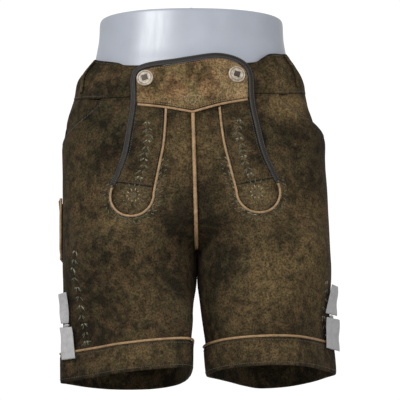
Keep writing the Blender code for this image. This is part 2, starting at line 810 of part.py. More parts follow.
def add_button(name, x, height, turn):
    """A turned button with an engraved ring, and a square recess that holds a dark inlay."""
    lift = ON_WAISTBAND + CLOTH + SEAM
    centre = front_point(x, height, lift)
    outward = (front_point(x, height, lift + 10.0) - centre).normalized()
    holder = bpy.data.objects.new("button_seat_" + name, None)
    place(holder, None, GARMENT)
    turn_matrix = outward.to_track_quat("Z", "Y").to_matrix().to_4x4()
    spin = Matrix.Rotation(math.radians(turn), 4, "Z")
    holder.matrix_local = Matrix.Translation(centre * MM) @ turn_matrix @ spin
    recess = BUTTON_INSET / 2 + 0.5
    profile = (
        (0.0, 3.2), (7.8, 3.2), (8.3, 2.8), (8.8, 2.8), (9.3, 3.2), (10.1, 3.2),
        (BUTTON_RADIUS, 2.2), (BUTTON_RADIUS, 0.8), (10.4, 0.0), (0.0, 0.0),
    )
    disc = add_turned("button_" + name, profile, 32, HORN, holder)
    square = bmesh.new()
    bmesh.ops.create_cube(square, size=1.0)
    cutter_mesh = bpy.data.meshes.new("button_recess_" + name)
    square.to_mesh(cutter_mesh)
    cutter = bpy.data.objects.new("button_recess_" + name, cutter_mesh)
    CUTTERS.objects.link(cutter)
    cutter.parent = holder
    cutter.scale = (2 * recess * MM, 2 * recess * MM, 2.4 * MM)
    cutter.location = (0.0, 0.0, 3.2 * MM)
    cutter.hide_render = True
    cutter.display_type = "WIRE"
    cut = disc.modifiers.new("recess", "BOOLEAN")
    cut.operation = "DIFFERENCE"
    cut.object = cutter
    square.clear()
    bmesh.ops.create_cube(square, size=BUTTON_INSET * MM)
    bmesh.ops.scale(square, vec=(1.0, 1.0, INSET_WALL / BUTTON_INSET), verts=square.verts)
    bmesh.ops.translate(square, vec=(0.0, 0.0, 2.9 * MM), verts=square.verts)
    inset_mesh = bpy.data.meshes.new("button_inset_" + name)
    square.to_mesh(inset_mesh)
    square.free()
    place(bpy.data.objects.new("button_inset_" + name, inset_mesh), DARK_HORN, holder)


def ribbon_loop(name, side, low, high, q_outer, q_low, q_high, lift, flare_low, flare_high):
    """A flattened loop of ribbon standing upright at the side slit, flared at its outer fold."""
    rows = []
    for level in range(4):
        share = level / 3
        height = between(low, high, share)
        q_inner = between(q_low, q_high, share)
        flare = between(flare_low, flare_high, share)
        row = []
        for step in range(12):
            angle = 2 * math.pi * step / 12
            across = (1 + math.cos(angle)) / 2
            outer = lift + RIBBON_WALL * 2 + RIBBON_GAP * (1 + math.sin(angle)) / 2
            q = between(q_outer, q_inner, across)
            row.append(cloth_point(side, q, height, outer + flare * (1 - across) ** 2))
        rows.append(row)
    return add_cloth("tie_" + name, rows, RIBBON_WALL, RIBBON, closed=True, flip=side == RIGHT)


def tie_knot(side, name):
    """The small knot between two ribbon loops."""
    sphere = bmesh.new()
    bmesh.ops.create_icosphere(sphere, subdivisions=2, radius=KNOT_RADIUS * MM)
    bmesh.ops.scale(sphere, vec=(2.0, 1.0, 1.0), verts=sphere.verts)
    mesh = bpy.data.meshes.new("tie_knot_" + name)
    sphere.to_mesh(mesh)
    sphere.free()
    mesh.shade_smooth()
    knot = place(bpy.data.objects.new("tie_knot_" + name, mesh), RIBBON, GARMENT)
    centre = cloth_point(side, KNOT_GIRTH, KNOT_HEIGHT, KNOT_LIFT)
    ahead = cloth_point(side, KNOT_GIRTH + 0.02, KNOT_HEIGHT, KNOT_LIFT)
    direction = (ahead - centre).normalized()
    knot.matrix_local = Matrix.Translation(centre * MM) @ direction.to_track_quat("X", "Z").to_matrix().to_4x4()


def display_form():
    """The smooth closed form that the waistband sits on."""
    columns = 32
    solid = bmesh.new()
    rings = []
    for height, half_width, front, back in FORM:
        ring = []
        for column in range(columns):
            angle = math.pi * (2 * column / columns - 1)
            x, y = ring_point(angle, half_width, front, back)
            ring.append(solid.verts.new(((x + FORM_SHIFT) * MM, y * MM, height * MM)))
        rings.append(ring)
    for lower, upper in zip(rings, rings[1:]):
        for column in range(columns):
            after = (column + 1) % columns
            solid.faces.new((lower[column], upper[column], upper[after], lower[after]))
    solid.faces.new(rings[0])
    solid.faces.new(rings[-1][::-1])
    bmesh.ops.recalc_face_normals(solid, faces=solid.faces)
    mesh = bpy.data.meshes.new("display_form")
    solid.to_mesh(mesh)
    solid.free()
    mesh.shade_smooth()
    mesh.set_sharp_from_angle(angle=math.radians(50))
    return place(bpy.data.objects.new("display_form", mesh), FORM_PLASTIC, ROOT)


def hang_loop():
    """A bent wire that stands on the middle of the form's top."""
    half = (LOOP_WIDTH - LOOP_WIRE) / 2
    foot = FORM_TOP + SEAM
    bend_height = FORM_TOP + LOOP_HEIGHT - LOOP_WIRE / 2 - half
    points = [Vector((FORM_SHIFT - half, 0.0, foot))]
    for step in range(13):
        angle = math.pi * (1 - step / 12)
        points.append(Vector((
            FORM_SHIFT + half * math.cos(angle),
            0.0,
            bend_height + half * math.sin(angle),
        )))
    points.append(Vector((FORM_SHIFT + half, 0.0, foot)))
    return add_tube("hang_loop", points, LOOP_WIRE / 2, WIRE, parent=ROOT)


clear_scene()
COLLECTION = bpy.data.collections.new("lederhosen")
CUTTERS = bpy.data.collections.new("cutters")
bpy.context.scene.collection.children.link(COLLECTION)
bpy.context.scene.collection.children.link(CUTTERS)

SUEDE = make_material("dark_suede", (0.055, 0.042, 0.022), 0.9)
TAN_SUEDE = make_material("tan_suede", (0.17, 0.10, 0.042), 0.9)
TAN_LEATHER = make_material("tan_piping", (0.42, 0.24, 0.11), 0.6)
GREY_LEATHER = make_material("grey_binding", (0.05, 0.05, 0.055), 0.5)
HORN = make_material("button_horn", (0.42, 0.36, 0.27), 0.4)
DARK_HORN = make_material("button_centre", (0.05, 0.035, 0.02), 0.6)
RIBBON = make_material("grey_ribbon", (0.42, 0.42, 0.43), 0.5)
FORM_PLASTIC = make_material("form_plastic", (0.52, 0.56, 0.64), 0.2)
WIRE = make_material("loop_wire", (0.5, 0.5, 0.52), 0.25, 1.0)

# The origin is the inside top of the hanging loop, and the garment tilts on the form
ROOT = place(bpy.data.objects.new("lederhosen_root", None), None, None)
ROOT.location = (-FORM_SHIFT * MM, 0.0, -HANG_HEIGHT * MM)
GARMENT = place(bpy.data.objects.new("garment", None), None, ROOT)
pivot = Matrix.Translation((0.0, 0.0, TILT_HEIGHT * MM))
GARMENT.matrix_local = pivot @ Matrix.Rotation(math.radians(-TILT_DEGREES), 4, "Y") @ pivot.inverted()

for half_side, half_name in ((LEFT, "left"), (RIGHT, "right")):
    front_panel(half_side, half_name)
    back_panel(half_side, half_name)
    hip_facing(half_side, half_name)
    waistband(half_side, half_name)
    tongue(half_side, half_name)
    tongue_tip(half_side, half_name)
    tongue_piping(half_side, half_name)
    cuff(half_side, half_name)
    cuff_piping(half_side, half_name)
    tie_knot(half_side, half_name)

flap_yoke()
yoke_piping()
centre_piping()
flap_binding()
knife_pocket()
knife_piping()

for loop_name, loop_side, loop_q, loop_low, loop_high in BELT_LOOPS:
    belt_loop(loop_name, loop_side, loop_q, loop_low, loop_high)

for button_name, button_x, button_height, button_turn in BUTTONS:
    add_button(button_name, button_x, button_height, button_turn)

for tie_values in TIES:
    ribbon_loop(*tie_values)

display_form()
hang_loop()
bpy.context.view_layer.update()
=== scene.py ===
# %% [markdown]
# # Short suede lederhosen on a hanging hip form
# The garment is cut from thin suede panels, trimmed with tan piping and a grey leather binding,
# and filled out on a glossy hip form. The construction is already fixed as solids. This lesson
# dresses it: every solid gets a finer piece of about its size, with creases, stitches and nap.

# %% Load the fixed frame
import math

import bmesh
import bpy
import numpy as np
from mathutils import Matrix, Vector


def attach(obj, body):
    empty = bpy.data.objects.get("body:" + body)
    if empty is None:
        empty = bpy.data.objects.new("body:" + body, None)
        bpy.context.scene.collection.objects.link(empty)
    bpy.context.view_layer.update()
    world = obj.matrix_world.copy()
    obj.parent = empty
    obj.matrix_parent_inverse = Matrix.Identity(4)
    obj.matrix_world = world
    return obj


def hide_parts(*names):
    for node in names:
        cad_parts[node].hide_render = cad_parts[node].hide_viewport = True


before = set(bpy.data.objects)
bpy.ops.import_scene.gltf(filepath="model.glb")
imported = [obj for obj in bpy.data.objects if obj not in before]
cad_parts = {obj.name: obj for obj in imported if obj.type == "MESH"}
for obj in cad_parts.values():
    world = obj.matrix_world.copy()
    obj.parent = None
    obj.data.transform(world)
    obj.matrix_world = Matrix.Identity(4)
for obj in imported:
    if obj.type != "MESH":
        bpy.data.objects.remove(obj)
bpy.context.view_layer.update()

print("solids loaded:", len(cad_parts))

# %% [markdown]
# ## The sizes
# All lengths are in millimetres and heights are measured up from the hem, as a cutter would note
# them. Each side of the garment is one ring round the body and one ring round the leg below it.
# Left and right are as seen from the front, which faces -Y.

# %% Driving sizes and section tables
MM = 0.001
LEFT, RIGHT = -1, 1
SIDES = ((LEFT, "left"), (RIGHT, "right"))

CLOTH = 2.0
SEAM = 0.3
ON_PANEL = 0.8
ON_WAISTBAND = 1.2
UNDER_PANEL = 1.2
BESIDE_TRIM = 0.4
CROTCH_HEIGHT = 143.0
RISE_TOP = 200.0
RISE_FULLNESS = 0.12
SECTION_ROUNDNESS = 0.88
GIRTH_SPAN = 250.0
CUFF_HEIGHT = 36.0
CUFF_WALL = 2.6
FOLD_EASE = 0.15
LEG_END = 26.0
PIPING_RADIUS = 1.6
PIPING_LIFT = ON_PANEL + PIPING_RADIUS
CENTRE_PIPING_RADIUS = 2.4
BINDING_WIDTH = 7.0
BINDING_WALL = 3.0
TILT_DEGREES = 1.6
TILT_HEIGHT = 330.0
FORM_SHIFT = -2.3
FORM_TOP = 472.0
LOOP_WIRE, LOOP_WIDTH, LOOP_HEIGHT = 3.0, 14.0, 21.0
HANG_HEIGHT = FORM_TOP + LOOP_HEIGHT - LOOP_WIRE

# Rings round the body: height, half width, front depth, back depth
BODY = (
    (200, 173.0, 104.0, 122.0),
    (240, 172.0, 105.5, 126.0),
    (270, 171.0, 106.0, 124.0),
    (300, 170.0, 106.0, 121.0),
    (313, 169.5, 105.5, 119.0),
    (326, 164.0, 105.0, 117.0),
    (343, 157.5, 104.0, 112.0),
    (370, 150.0, 101.0, 105.0),
    (393, 145.6, 97.0, 98.0),
    (405, 138.0, 94.0, 92.0),
    (420, 127.0, 90.0, 86.0),
    (434, 121.0, 87.0, 84.0),
)

# Rings round one leg: height, outer x, inner x, front depth, back depth
LEG = (
    (0, 178.5, 11.0, 92.0, 88.0),
    (36, 177.0, 9.0, 93.0, 90.0),
    (60, 176.0, 6.5, 94.0, 94.0),
    (116, 174.6, 1.2, 98.0, 102.0),
    (143, 173.8, 0.6, 100.0, 108.0),
    (200, 173.0, 0.6, 104.0, 122.0),
)

# How the hips sit off centre: height, extra half width on the left, and on the right
HIP_EASE = (
    (270, 0.0, 0.0),
    (287, 0.6, 0.6),
    (303, 1.0, 2.0),
    (313, 0.5, 0.5),
    (326, 3.5, -1.5),
    (333, 5.2, -2.6),
    (349, 6.5, -3.9),
    (364, 5.2, -2.6),
    (380, 3.9, -1.3),
    (396, 3.9, -2.0),
    (412, 2.6, 0.0),
    (425, 2.6, 1.3),
    (434, 2.6, 1.3),
)

# The pressed section of each leg at its hem, from the inseam round the back to the side seam and
# on round the front: share of the way from the leg's inner edge to its outer edge, y
HEM_SECTION = {
    LEFT: (
        (0.03, -20), (0.10, 34), (0.20, 60), (0.316, 72), (0.436, 74), (0.555, 70), (0.675, 60),
        (0.83, 36), (0.961, 8), (1.0, 0), (0.961, -6), (0.86, -20), (0.71, -42), (0.579, -64),
        (0.412, -82), (0.281, -92), (0.149, -99), (0.054, -98), (0.012, -88), (0.012, -60),
        (0.03, -20),
    ),
    RIGHT: (
        (0.0, -20), (0.09, 6), (0.185, 34), (0.293, 68), (0.40, 92), (0.519, 92), (0.639, 82),
        (0.80, 50), (0.90, 14), (0.96, -8), (0.935, -22), (0.85, -52), (0.71, -84),
        (0.567, -97), (0.412, -99), (0.269, -93), (0.137, -78), (0.036, -52), (0.0, -34),
        (0.0, -20),
    ),
}
HEM_FULL, HEM_FADED = 60.0, 150.0

# Girth q to height, for the waistband's lower and upper edges
WAIST_SEAM = ((-1.0, 376), (-0.5, 373), (0.0, 370), (0.3, 362), (0.5, 357), (1.0, 350))
WAIST_TOP = (    # one column for each side
    (-1.0, 431, 431), (-0.5, 425, 425), (-0.1, 421.5, 421.5), (0.15, 420.5, 420.5),
    (0.3, 414.5, 416.5), (0.47, 408, 412.5), (0.57, 403.5, 404.5), (0.64, 398.5, 397.7),
    (1.0, 392, 392),
)

# The slanted pocket mouth: share of the rise above MOUTH_START, girth q
POCKET_MOUTH = ((0.0, 0.0), (0.06, 0.07), (0.2, 0.2), (0.42, 0.35), (0.58, 0.42), (0.78, 0.475), (1.0, 0.5))
MOUTH_START = 310.0
POCKET_GAPE = 3.2

# %% [markdown]
# ## A surface to sew on
# Every panel, trim, stitch and button lies on one surface. A point on it is named by its side,
# its girth q (0 at the side seam, 1 at the centre front or inseam, -1 at the centre back) and its
# height. Numpy works out thousands of points at once, which keeps the fine meshes quick.

# %% Smooth tables and rings
def curve_at(table, key, column=1):
    """Read a column of a table at many keys, along a smooth curve through its rows."""
    keys = np.array([row[0] for row in table], float)
    values = np.array([row[column] for row in table], float)
    slopes = np.empty_like(values)
    slopes[1:-1] = (values[2:] - values[:-2]) / (keys[2:] - keys[:-2])
    slopes[0] = (values[1] - values[0]) / (keys[1] - keys[0])
    slopes[-1] = (values[-1] - values[-2]) / (keys[-1] - keys[-2])
    key = np.clip(np.asarray(key, float), keys[0], keys[-1])
    low = np.clip(np.searchsorted(keys, key, side="right") - 1, 0, len(keys) - 2)
    span = keys[low + 1] - keys[low]
    t = (key - keys[low]) / span
    start = (2 * t ** 3 - 3 * t ** 2 + 1) * values[low] + (t ** 3 - 2 * t ** 2 + t) * span * slopes[low]
    end = (3 * t ** 2 - 2 * t ** 3) * values[low + 1] + (t ** 3 - t ** 2) * span * slopes[low + 1]
    return start + end


def smooth_step(value):
    """Ease from 0 to 1, level at both ends."""
    value = np.clip(value, 0.0, 1.0)
    return value * value * (3.0 - 2.0 * value)


def ring(angle, half_width, front, back):
    """A horizontal section, by the angle from its +X end towards the front."""
    cosine, sine = np.cos(angle), np.sin(angle)
    depth = np.where(angle >= 0, front, back)
    x = half_width * np.sign(cosine) * np.abs(cosine) ** SECTION_ROUNDNESS
    y = -depth * np.sign(sine) * np.abs(sine) ** SECTION_ROUNDNESS
    return x, y


def girth_table(outline):
    """Give each row of a leg's outline its girth q, by length: 0 at the side seam, 1 at the inseam."""
    rows = np.array([outline[-2], *outline, outline[1]], float)
    steps = np.diff(rows, axis=0) * (LEG[0][1] - LEG[0][2], 1.0)
    lengths = np.concatenate([[0.0], np.cumsum(np.hypot(steps[:, 0], steps[:, 1]))])
    seam = lengths[np.argmax(rows[:, 0])]
    half = np.where(lengths <= seam, seam - lengths[1], lengths[-2] - seam)
    return np.column_stack([(lengths - seam) / half, rows])


HEM_TABLE = {side: girth_table(outline) for side, outline in HEM_SECTION.items()}


def side_column(side):
    """The column of a table that has one for the left side, then one for the right."""
    return 1 if side == LEFT else 2


def base_surface(side, q, height):
    """The smooth outer face of the cloth, before any crease."""
    q, height = np.broadcast_arrays(np.asarray(q, float), np.asarray(height, float))
    half_width = curve_at(BODY, height, 1) + curve_at(HIP_EASE, height, side_column(side))
    x, y = ring(q * math.pi / 2, half_width, curve_at(BODY, height, 2), curve_at(BODY, height, 3))
    outer, inner = curve_at(LEG, height, 1), curve_at(LEG, height, 2)
    leg_x, leg_y = ring(q * math.pi, (outer - inner) / 2, curve_at(LEG, height, 3), curve_at(LEG, height, 4))
    leg_x = leg_x + (outer + inner) / 2
    pressed = smooth_step((HEM_FADED - height) / (HEM_FADED - HEM_FULL))
    leg_x = leg_x + (inner + curve_at(HEM_TABLE[side], q, 1) * (outer - inner) - leg_x) * pressed
    leg_y = leg_y + (curve_at(HEM_TABLE[side], q, 2) - leg_y) * pressed
    share = smooth_step((RISE_TOP - height) / (RISE_TOP - CROTCH_HEIGHT))
    fullness = 1.0 + 4.0 * RISE_FULLNESS * share * (1.0 - share)
    x = x + (leg_x - x) * share
    y = (y + (leg_y - y) * share) * fullness
    return np.stack([side * x, y, height], axis=-1)


# %% [markdown]
# ## Creases
# Worn suede doesn't wrinkle evenly. A few soft troughs cross each leg, where the thigh bends, and
# small puckers run off the seams. Each crease is one row of a table: where it starts and ends,
# how wide and how deep it is. A low ridge follows each side of a trough, as in real leather.

# %% Creases and seams in the cloth
# side, start q, start height, end q, end height, half width, rise
CREASES = (
    (LEFT, 0.45, 121, 0.64, 45, 11, -3.2),
    (LEFT, 0.80, 182, 0.55, 172, 16, -1.8),
    (LEFT, 0.30, 240, 0.34, 150, 16, 1.6),
    (LEFT, -0.80, 190, -0.40, 178, 14, -2.6),
    (LEFT, -0.72, 112, -0.48, 58, 12, -2.4),
    (RIGHT, 0.78, 184, 0.36, 174, 12, -2.2),
    (RIGHT, 0.74, 150, 0.38, 146, 12, -2.2),
    (RIGHT, 0.60, 110, 0.36, 70, 14, -1.8),
    (RIGHT, -0.78, 182, -0.38, 192, 14, -2.6),
    (RIGHT, -0.66, 120, -0.36, 84, 12, -2.2),
    (LEFT, 0.50, 106, 0.66, 40, 4, -2.0),
    (LEFT, 0.36, 84, 0.46, 40, 5, -1.0),
    (LEFT, 0.88, 168, 0.70, 152, 5, -1.2),
    (LEFT, 0.86, 132, 0.74, 96, 5, -1.0),
    (LEFT, 0.22, 300, 0.30, 262, 6, -1.0),
    (LEFT, 0.55, 222, 0.66, 196, 5, -0.8),
    (RIGHT, 0.86, 176, 0.60, 168, 5, -1.4),
    (RIGHT, 0.80, 160, 0.52, 158, 5, -1.2),
    (RIGHT, 0.76, 134, 0.50, 128, 5, -1.3),
    (RIGHT, 0.66, 118, 0.44, 106, 5, -1.0),
    (RIGHT, 0.74, 92, 0.56, 72, 5, -0.9),
    (RIGHT, 0.24, 296, 0.34, 270, 6, -1.0),
    (RIGHT, 0.18, 200, 0.30, 168, 6, -0.9),
    (LEFT, -0.62, 168, -0.30, 160, 6, -1.2),
    (RIGHT, -0.60, 164, -0.26, 150, 6, -1.2),
    (LEFT, -0.30, 110, -0.52, 88, 5, -0.9),
    (RIGHT, -0.24, 96, -0.46, 60, 5, -0.9),
    (LEFT, -0.36, 300, -0.42, 250, 8, -1.0),
    (RIGHT, -0.30, 290, -0.40, 246, 8, -1.0),
)
THIGH_TOUCH = 138.0        # height where the legs press on each other
THIGH_REACH, THIGH_WIDTH, THIGH_SWELL = 34.0, 14.0, 0.7
SEAM_GROOVE, SEAM_GROOVE_WIDTH = 0.7, 2.2
FRONT_SEAM_TOP, SIDE_SEAM_TOP = 330.0, 372.0


def crease_rise(side, q, height):
    """How far creases, soft waves and seams move the cloth out at each point."""
    across, up = q * GIRTH_SPAN, height
    rise = 0.35 * np.sin(across / 21.0 + up / 33.0 + side) * np.sin(up / 45.0 - across / 57.0 + 1.3)
    rise = rise + 0.22 * np.sin(across / 9.0 - up / 14.0 + 2.0 * side) * np.sin(up / 23.0 + across / 31.0)
    for crease_side, q_start, low, q_end, high, half_width, amount in CREASES:
        if crease_side != side:
            continue
        start = np.array([q_start * GIRTH_SPAN, low])
        along = np.array([q_end * GIRTH_SPAN, high]) - start
        offset_x, offset_y = across - start[0], up - start[1]
        share = np.clip((offset_x * along[0] + offset_y * along[1]) / along.dot(along), 0.0, 1.0)
        distance = np.hypot(offset_x - along[0] * share, offset_y - along[1] * share) / half_width
        profile = np.exp(-distance ** 2) - 0.35 * np.exp(-((distance - 1.9) / 0.7) ** 2)
        rise = rise + amount * np.sin(math.pi * (0.08 + 0.84 * share)) * profile
    seam_distance = np.minimum(np.abs(q), 1.0 - np.abs(q)) * GIRTH_SPAN
    seam_top = np.where(q > 0.5, FRONT_SEAM_TOP, SIDE_SEAM_TOP)
    thighs = (np.abs(q) > 0.5) * np.exp(-((height - THIGH_TOUCH) / THIGH_REACH) ** 4)
    rise = rise + THIGH_SWELL * np.exp(-(seam_distance / THIGH_WIDTH) ** 2) * thighs
    groove = SEAM_GROOVE * np.exp(-(seam_distance / SEAM_GROOVE_WIDTH) ** 2)
    return rise - groove * (height < seam_top) * (1.0 - thighs)


TILT_PIVOT = Matrix.Translation((0.0, 0.0, TILT_HEIGHT * MM))
GARMENT_PLACE = (
    Matrix.Translation((-FORM_SHIFT * MM, 0.0, -HANG_HEIGHT * MM))
    @ TILT_PIVOT @ Matrix.Rotation(math.radians(-TILT_DEGREES), 4, "Y") @ TILT_PIVOT.inverted()
)


def to_frame(points):
    """From the cutter's millimetres to the hanging garment's place, in metres."""
    matrix = np.array(GARMENT_PLACE)
    return points * MM @ matrix[:3, :3].T + matrix[:3, 3]


GIRTH_STEP, HEIGHT_STEP = 0.004, 1.0      # how far off the points are that give a normal


def surface(side, q, height, lift=0.0):
    """Points on the creased cloth and their outward directions, both in the frame's own place."""
    q, height = np.broadcast_arrays(np.asarray(q, float), np.asarray(height, float))
    before = base_surface(side, np.maximum(q - GIRTH_STEP, -1.0), height)
    after = base_surface(side, np.minimum(q + GIRTH_STEP, 1.0), height)
    below = base_surface(side, q, height - HEIGHT_STEP)
    above = base_surface(side, q, height + HEIGHT_STEP)
    normal = np.cross(after - before, above - below) * -side
    normal /= np.linalg.norm(normal, axis=-1, keepdims=True)
    rise = np.asarray(lift, float) + crease_rise(side, q, height)
    points = base_surface(side, q, height) + normal * rise[..., None]
    return to_frame(points), normal @ np.array(GARMENT_PLACE)[:3, :3].T


def girth_at(side, x, height):
    """The girth q of a front point at a distance x from the centre, found by halving."""
    x, height = np.broadcast_arrays(np.abs(np.asarray(x, float)), np.asarray(height, float))
    low, high = np.zeros(x.shape), np.ones(x.shape)
    for _ in range(26):
        middle = (low + high) / 2
        outside = np.abs(base_surface(side, middle, height)[..., 0]) > x
        low = np.where(outside, middle, low)
        high = np.where(outside, high, middle)
    return (low + high) / 2


def front(x, height, lift=0.0):
    """Front points by x and height, on whichever side each lies."""
    x, height = np.broadcast_arrays(np.asarray(x, float), np.asarray(height, float))
    left_points, left_normals = surface(LEFT, girth_at(LEFT, x, height), height, lift)
    right_points, right_normals = surface(RIGHT, girth_at(RIGHT, x, height), height, lift)
    on_left = (x < 0)[..., None]
    return np.where(on_left, left_points, right_points), np.where(on_left, left_normals, right_normals)


waist_spot, hem_spot = (to_frame(base_surface(LEFT, 0.0, height)) for height in (420.0, 0.0))
print("hem to waist:", round(float(waist_spot[2] - hem_spot[2]), 3), "m")

# %% [markdown]
# ## Wear and painted shade
# Suede gets paler where it is rubbed, and painted shade darkens its folds and seams. Soft
# patches are listed in a table, and each vertex keeps how worn and how shaded it is as attributes,
# so the pattern belongs to the cloth and doesn't slide when the camera moves.

# %% Rubbed patches and painted shade
# x, height, half width, half height, strength: above 0 is rubbed pale, below 0 is painted shade:
# in the crotch, between the legs, at the outer leg and hip edges, under the left pocket mouth,
# and on the left hip, which is darker than the right
FRONT_PATCHES = (
    (-2, 285, 30, 42, 0.75),
    (-80, 222, 40, 34, 0.34),
    (80, 222, 40, 34, 0.60),
    (94, 110, 38, 66, 0.52),
    (150, 150, 24, 80, 0.50),
    (52, 60, 26, 40, 0.20),
    (-104, 190, 30, 14, 0.35),
    (-78, 100, 36, 60, 0.22),
    (-85, 22, 44, 18, 0.42),
    (86, 18, 60, 18, 0.30),
    (125, 345, 24, 22, 1.40),
    (158, 290, 14, 50, -0.60),
    (-150, 300, 34, 60, -0.30),
    (104, 386, 30, 18, 0.40),
    (-104, 388, 30, 14, 0.15),
    (-52, 300, 14, 60, 0.30),
    (56, 295, 14, 60, 0.25),
    (-150, 250, 24, 60, 0.15),
    (0, 190, 26, 34, -0.30),
    (-165, 120, 18, 120, -0.25),
    (-22, 70, 18, 90, -0.35),
    (20, 120, 14, 60, -0.45),
    (-120, 322, 34, 12, -0.35),
)
BACK_PATCHES = (
    (-85, 235, 46, 44, 0.55),
    (85, 235, 46, 44, 0.60),
    (-80, 110, 34, 50, 0.25),
    (84, 100, 34, 60, 0.30),
    (0, 400, 70, 14, 0.30),
    (0, 196, 26, 34, -0.55),
    (-20, 80, 16, 70, -0.35),
    (20, 80, 16, 70, -0.35),
)


def wear_and_shade_at(x, height, patches=FRONT_PATCHES):
    """Rubbed amounts and painted shade, each from 0 to 1, at points of the front or the back."""
    total_worn = np.zeros(np.shape(x))
    total_shade = np.zeros(np.shape(x))
    for centre_x, centre_height, half_width, half_height, strength in patches:
        distance = ((x - centre_x) / half_width) ** 2 + ((height - centre_height) / half_height) ** 2
        amount = abs(strength) * np.exp(-distance)
        if strength > 0:
            total_worn = total_worn + amount
        else:
            total_shade = total_shade + amount
    return np.clip(total_worn, 0.0, 1.0), np.clip(total_shade, 0.0, 1.0)


# %% [markdown]
# ## Cut cloth
# A cloth piece is a grid of points on the surface. Solidify gives it the real wall on its inner
# side. The grid also tells the flat size that the piece was cut to, which is how a tailor would
# describe it.

# %% Making a piece of cloth
def join_to_object(obj, slot, *nodes):
    """Put a finished piece in the scene, on the one body, in place of its plain solids."""
    if obj.name not in bpy.context.scene.collection.objects:
        bpy.context.scene.collection.objects.link(obj)
    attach(obj, "root")
    if nodes:
        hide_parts(*nodes)
    return obj


def mesh_from_grid(name, points, normals, closed=False):
    """A smooth quad mesh through a grid of points, its faces turned the way the normals point."""
    rows, columns = points.shape[:2]
    index = np.arange(rows * columns).reshape(rows, columns)
    here = index if closed else index[:, :-1]
    after = np.roll(index, -1, axis=1) if closed else index[:, 1:]
    faces = np.stack([here[:-1], after[:-1], after[1:], here[1:]], axis=-1).reshape(-1, 4)
    flat = points.reshape(-1, 3)
    first = flat[faces[:, 0]]
    facing = np.cross(flat[faces[:, 1]] - first, flat[faces[:, 2]] - first)
    if np.sum(facing * normals.reshape(-1, 3)[faces[:, 0]]) < 0:
        faces = faces[:, ::-1]
    mesh = bpy.data.meshes.new(name)
    mesh.from_pydata(flat.tolist(), [], faces.tolist())
    mesh.shade_smooth()
    return mesh


def paint(mesh, name, values):
    """Store one number at each vertex for a material to read."""
    layer = mesh.attributes.new(name, "FLOAT", "POINT")
    layer.data.foreach_set("value", np.asarray(values, np.float32).ravel())


def cut_of(points, closed=False):
    """Flat width, length and area of a grid of cloth, in metres and square metres."""
    loop = np.concatenate([points, points[:, :1]], axis=1) if closed else points
    across = np.linalg.norm(np.diff(loop, axis=1), axis=-1)
    along = np.linalg.norm(np.diff(loop, axis=0), axis=-1)
    area = np.sum((across[1:] + across[:-1]) / 2 * (along[:, 1:] + along[:, :-1]) / 2)
    return across.sum(axis=1).max(), along.sum(axis=0).max(), area


def cloth(name, grid, wear_and_shade, wall, material, slot, closed=False, held="stretched", rests_on=()):
    """A sewn piece: the grid as its outer face, its wall inside, and its cut declared."""
    points, normals = grid
    mesh = mesh_from_grid(name, points, normals, closed)
    # The first of the pair is the rubbed amount, the second the painted shade.
    paint(mesh, "worn", wear_and_shade[0])
    paint(mesh, "shade", wear_and_shade[1])
    obj = bpy.data.objects.new(name, mesh)
    obj.data.materials.append(material)
    shell = obj.modifiers.new("wall", "SOLIDIFY")
    shell.thickness = wall * MM
    shell.offset = -1.0
    join_to_object(obj, slot, name)
    width, length, area = cut_of(points, closed)
    CUTS[name] = (obj, width, length, area, held, rests_on)
    return obj


def edge_shade(shape, depth=3.0):
    """Painted shade along the four edges of a grid, fading within a few columns or rows."""
    rows, columns = shape
    row = np.minimum(np.arange(rows), rows - 1 - np.arange(rows))[:, None]
    column = np.minimum(np.arange(columns), columns - 1 - np.arange(columns))[None, :]
    return np.exp(-np.minimum(row, column) / depth)


CUTS = {}

# %% [markdown]
# ## Effects that materials share
# The nap of suede, the grain of smooth leather and the twist of thread are node groups. Each puts
# out a colour and a height. The shader itself stays in each material, with its steady values
# typed on its own sockets.

# %% Node group helpers
def new_group(name, inputs, outputs):
    """An empty shader group with its sockets, and its input and output nodes."""
    group = bpy.data.node_groups.new(name, "ShaderNodeTree")
    for label, kind, value in inputs:
        socket = group.interface.new_socket(label, in_out="INPUT", socket_type=kind)
        socket.default_value = value
    for label, kind in outputs:
        group.interface.new_socket(label, in_out="OUTPUT", socket_type=kind)
    return group, group.nodes.new("NodeGroupInput"), group.nodes.new("NodeGroupOutput")


def noise(tree, coordinates, scale, detail=4.0, stretch=None):
    """A noise texture on object coordinates, its scale counted per metre."""
    if stretch:
        mapping = tree.nodes.new("ShaderNodeMapping")
        mapping.inputs["Scale"].default_value = stretch
        tree.links.new(coordinates, mapping.inputs["Vector"])
        coordinates = mapping.outputs["Vector"]
    texture = tree.nodes.new("ShaderNodeTexNoise")
    texture.inputs["Scale"].default_value = scale
    texture.inputs["Detail"].default_value = detail
    tree.links.new(coordinates, texture.inputs["Vector"])
    return texture.outputs["Fac"]


def remap(tree, value, low, high, to_low=0.0, to_high=1.0):
    """Stretch part of a value's range over another range."""
    node = tree.nodes.new("ShaderNodeMapRange")
    for socket, number in zip(node.inputs[1:5], (low, high, to_low, to_high)):
        socket.default_value = number
    tree.links.new(value, node.inputs[0])
    return node.outputs[0]


def blend_colour(tree, factor, first, second, mode="MIX"):
    """Mix two colours by a factor; each may be a socket or a plain colour."""
    node = tree.nodes.new("ShaderNodeMix")
    node.data_type = "RGBA"
    node.blend_type = mode
    for source, socket in ((factor, node.inputs[0]), (first, node.inputs[6]), (second, node.inputs[7])):
        if isinstance(source, (float, tuple)):
            socket.default_value = source
        else:
            tree.links.new(source, socket)
    return node.outputs[2]


def combine(tree, operation, first, second):
    """One maths step between two sockets or numbers."""
    node = tree.nodes.new("ShaderNodeMath")
    node.operation = operation
    for source, socket in ((first, node.inputs[0]), (second, node.inputs[1])):
        if isinstance(source, float):
            socket.default_value = source
        else:
            tree.links.new(source, socket)
    return node.outputs[0]


def attribute(tree, name):
    """A number that each vertex keeps, such as how worn it is."""
    node = tree.nodes.new("ShaderNodeAttribute")
    node.attribute_name = name
    return node.outputs["Fac"]


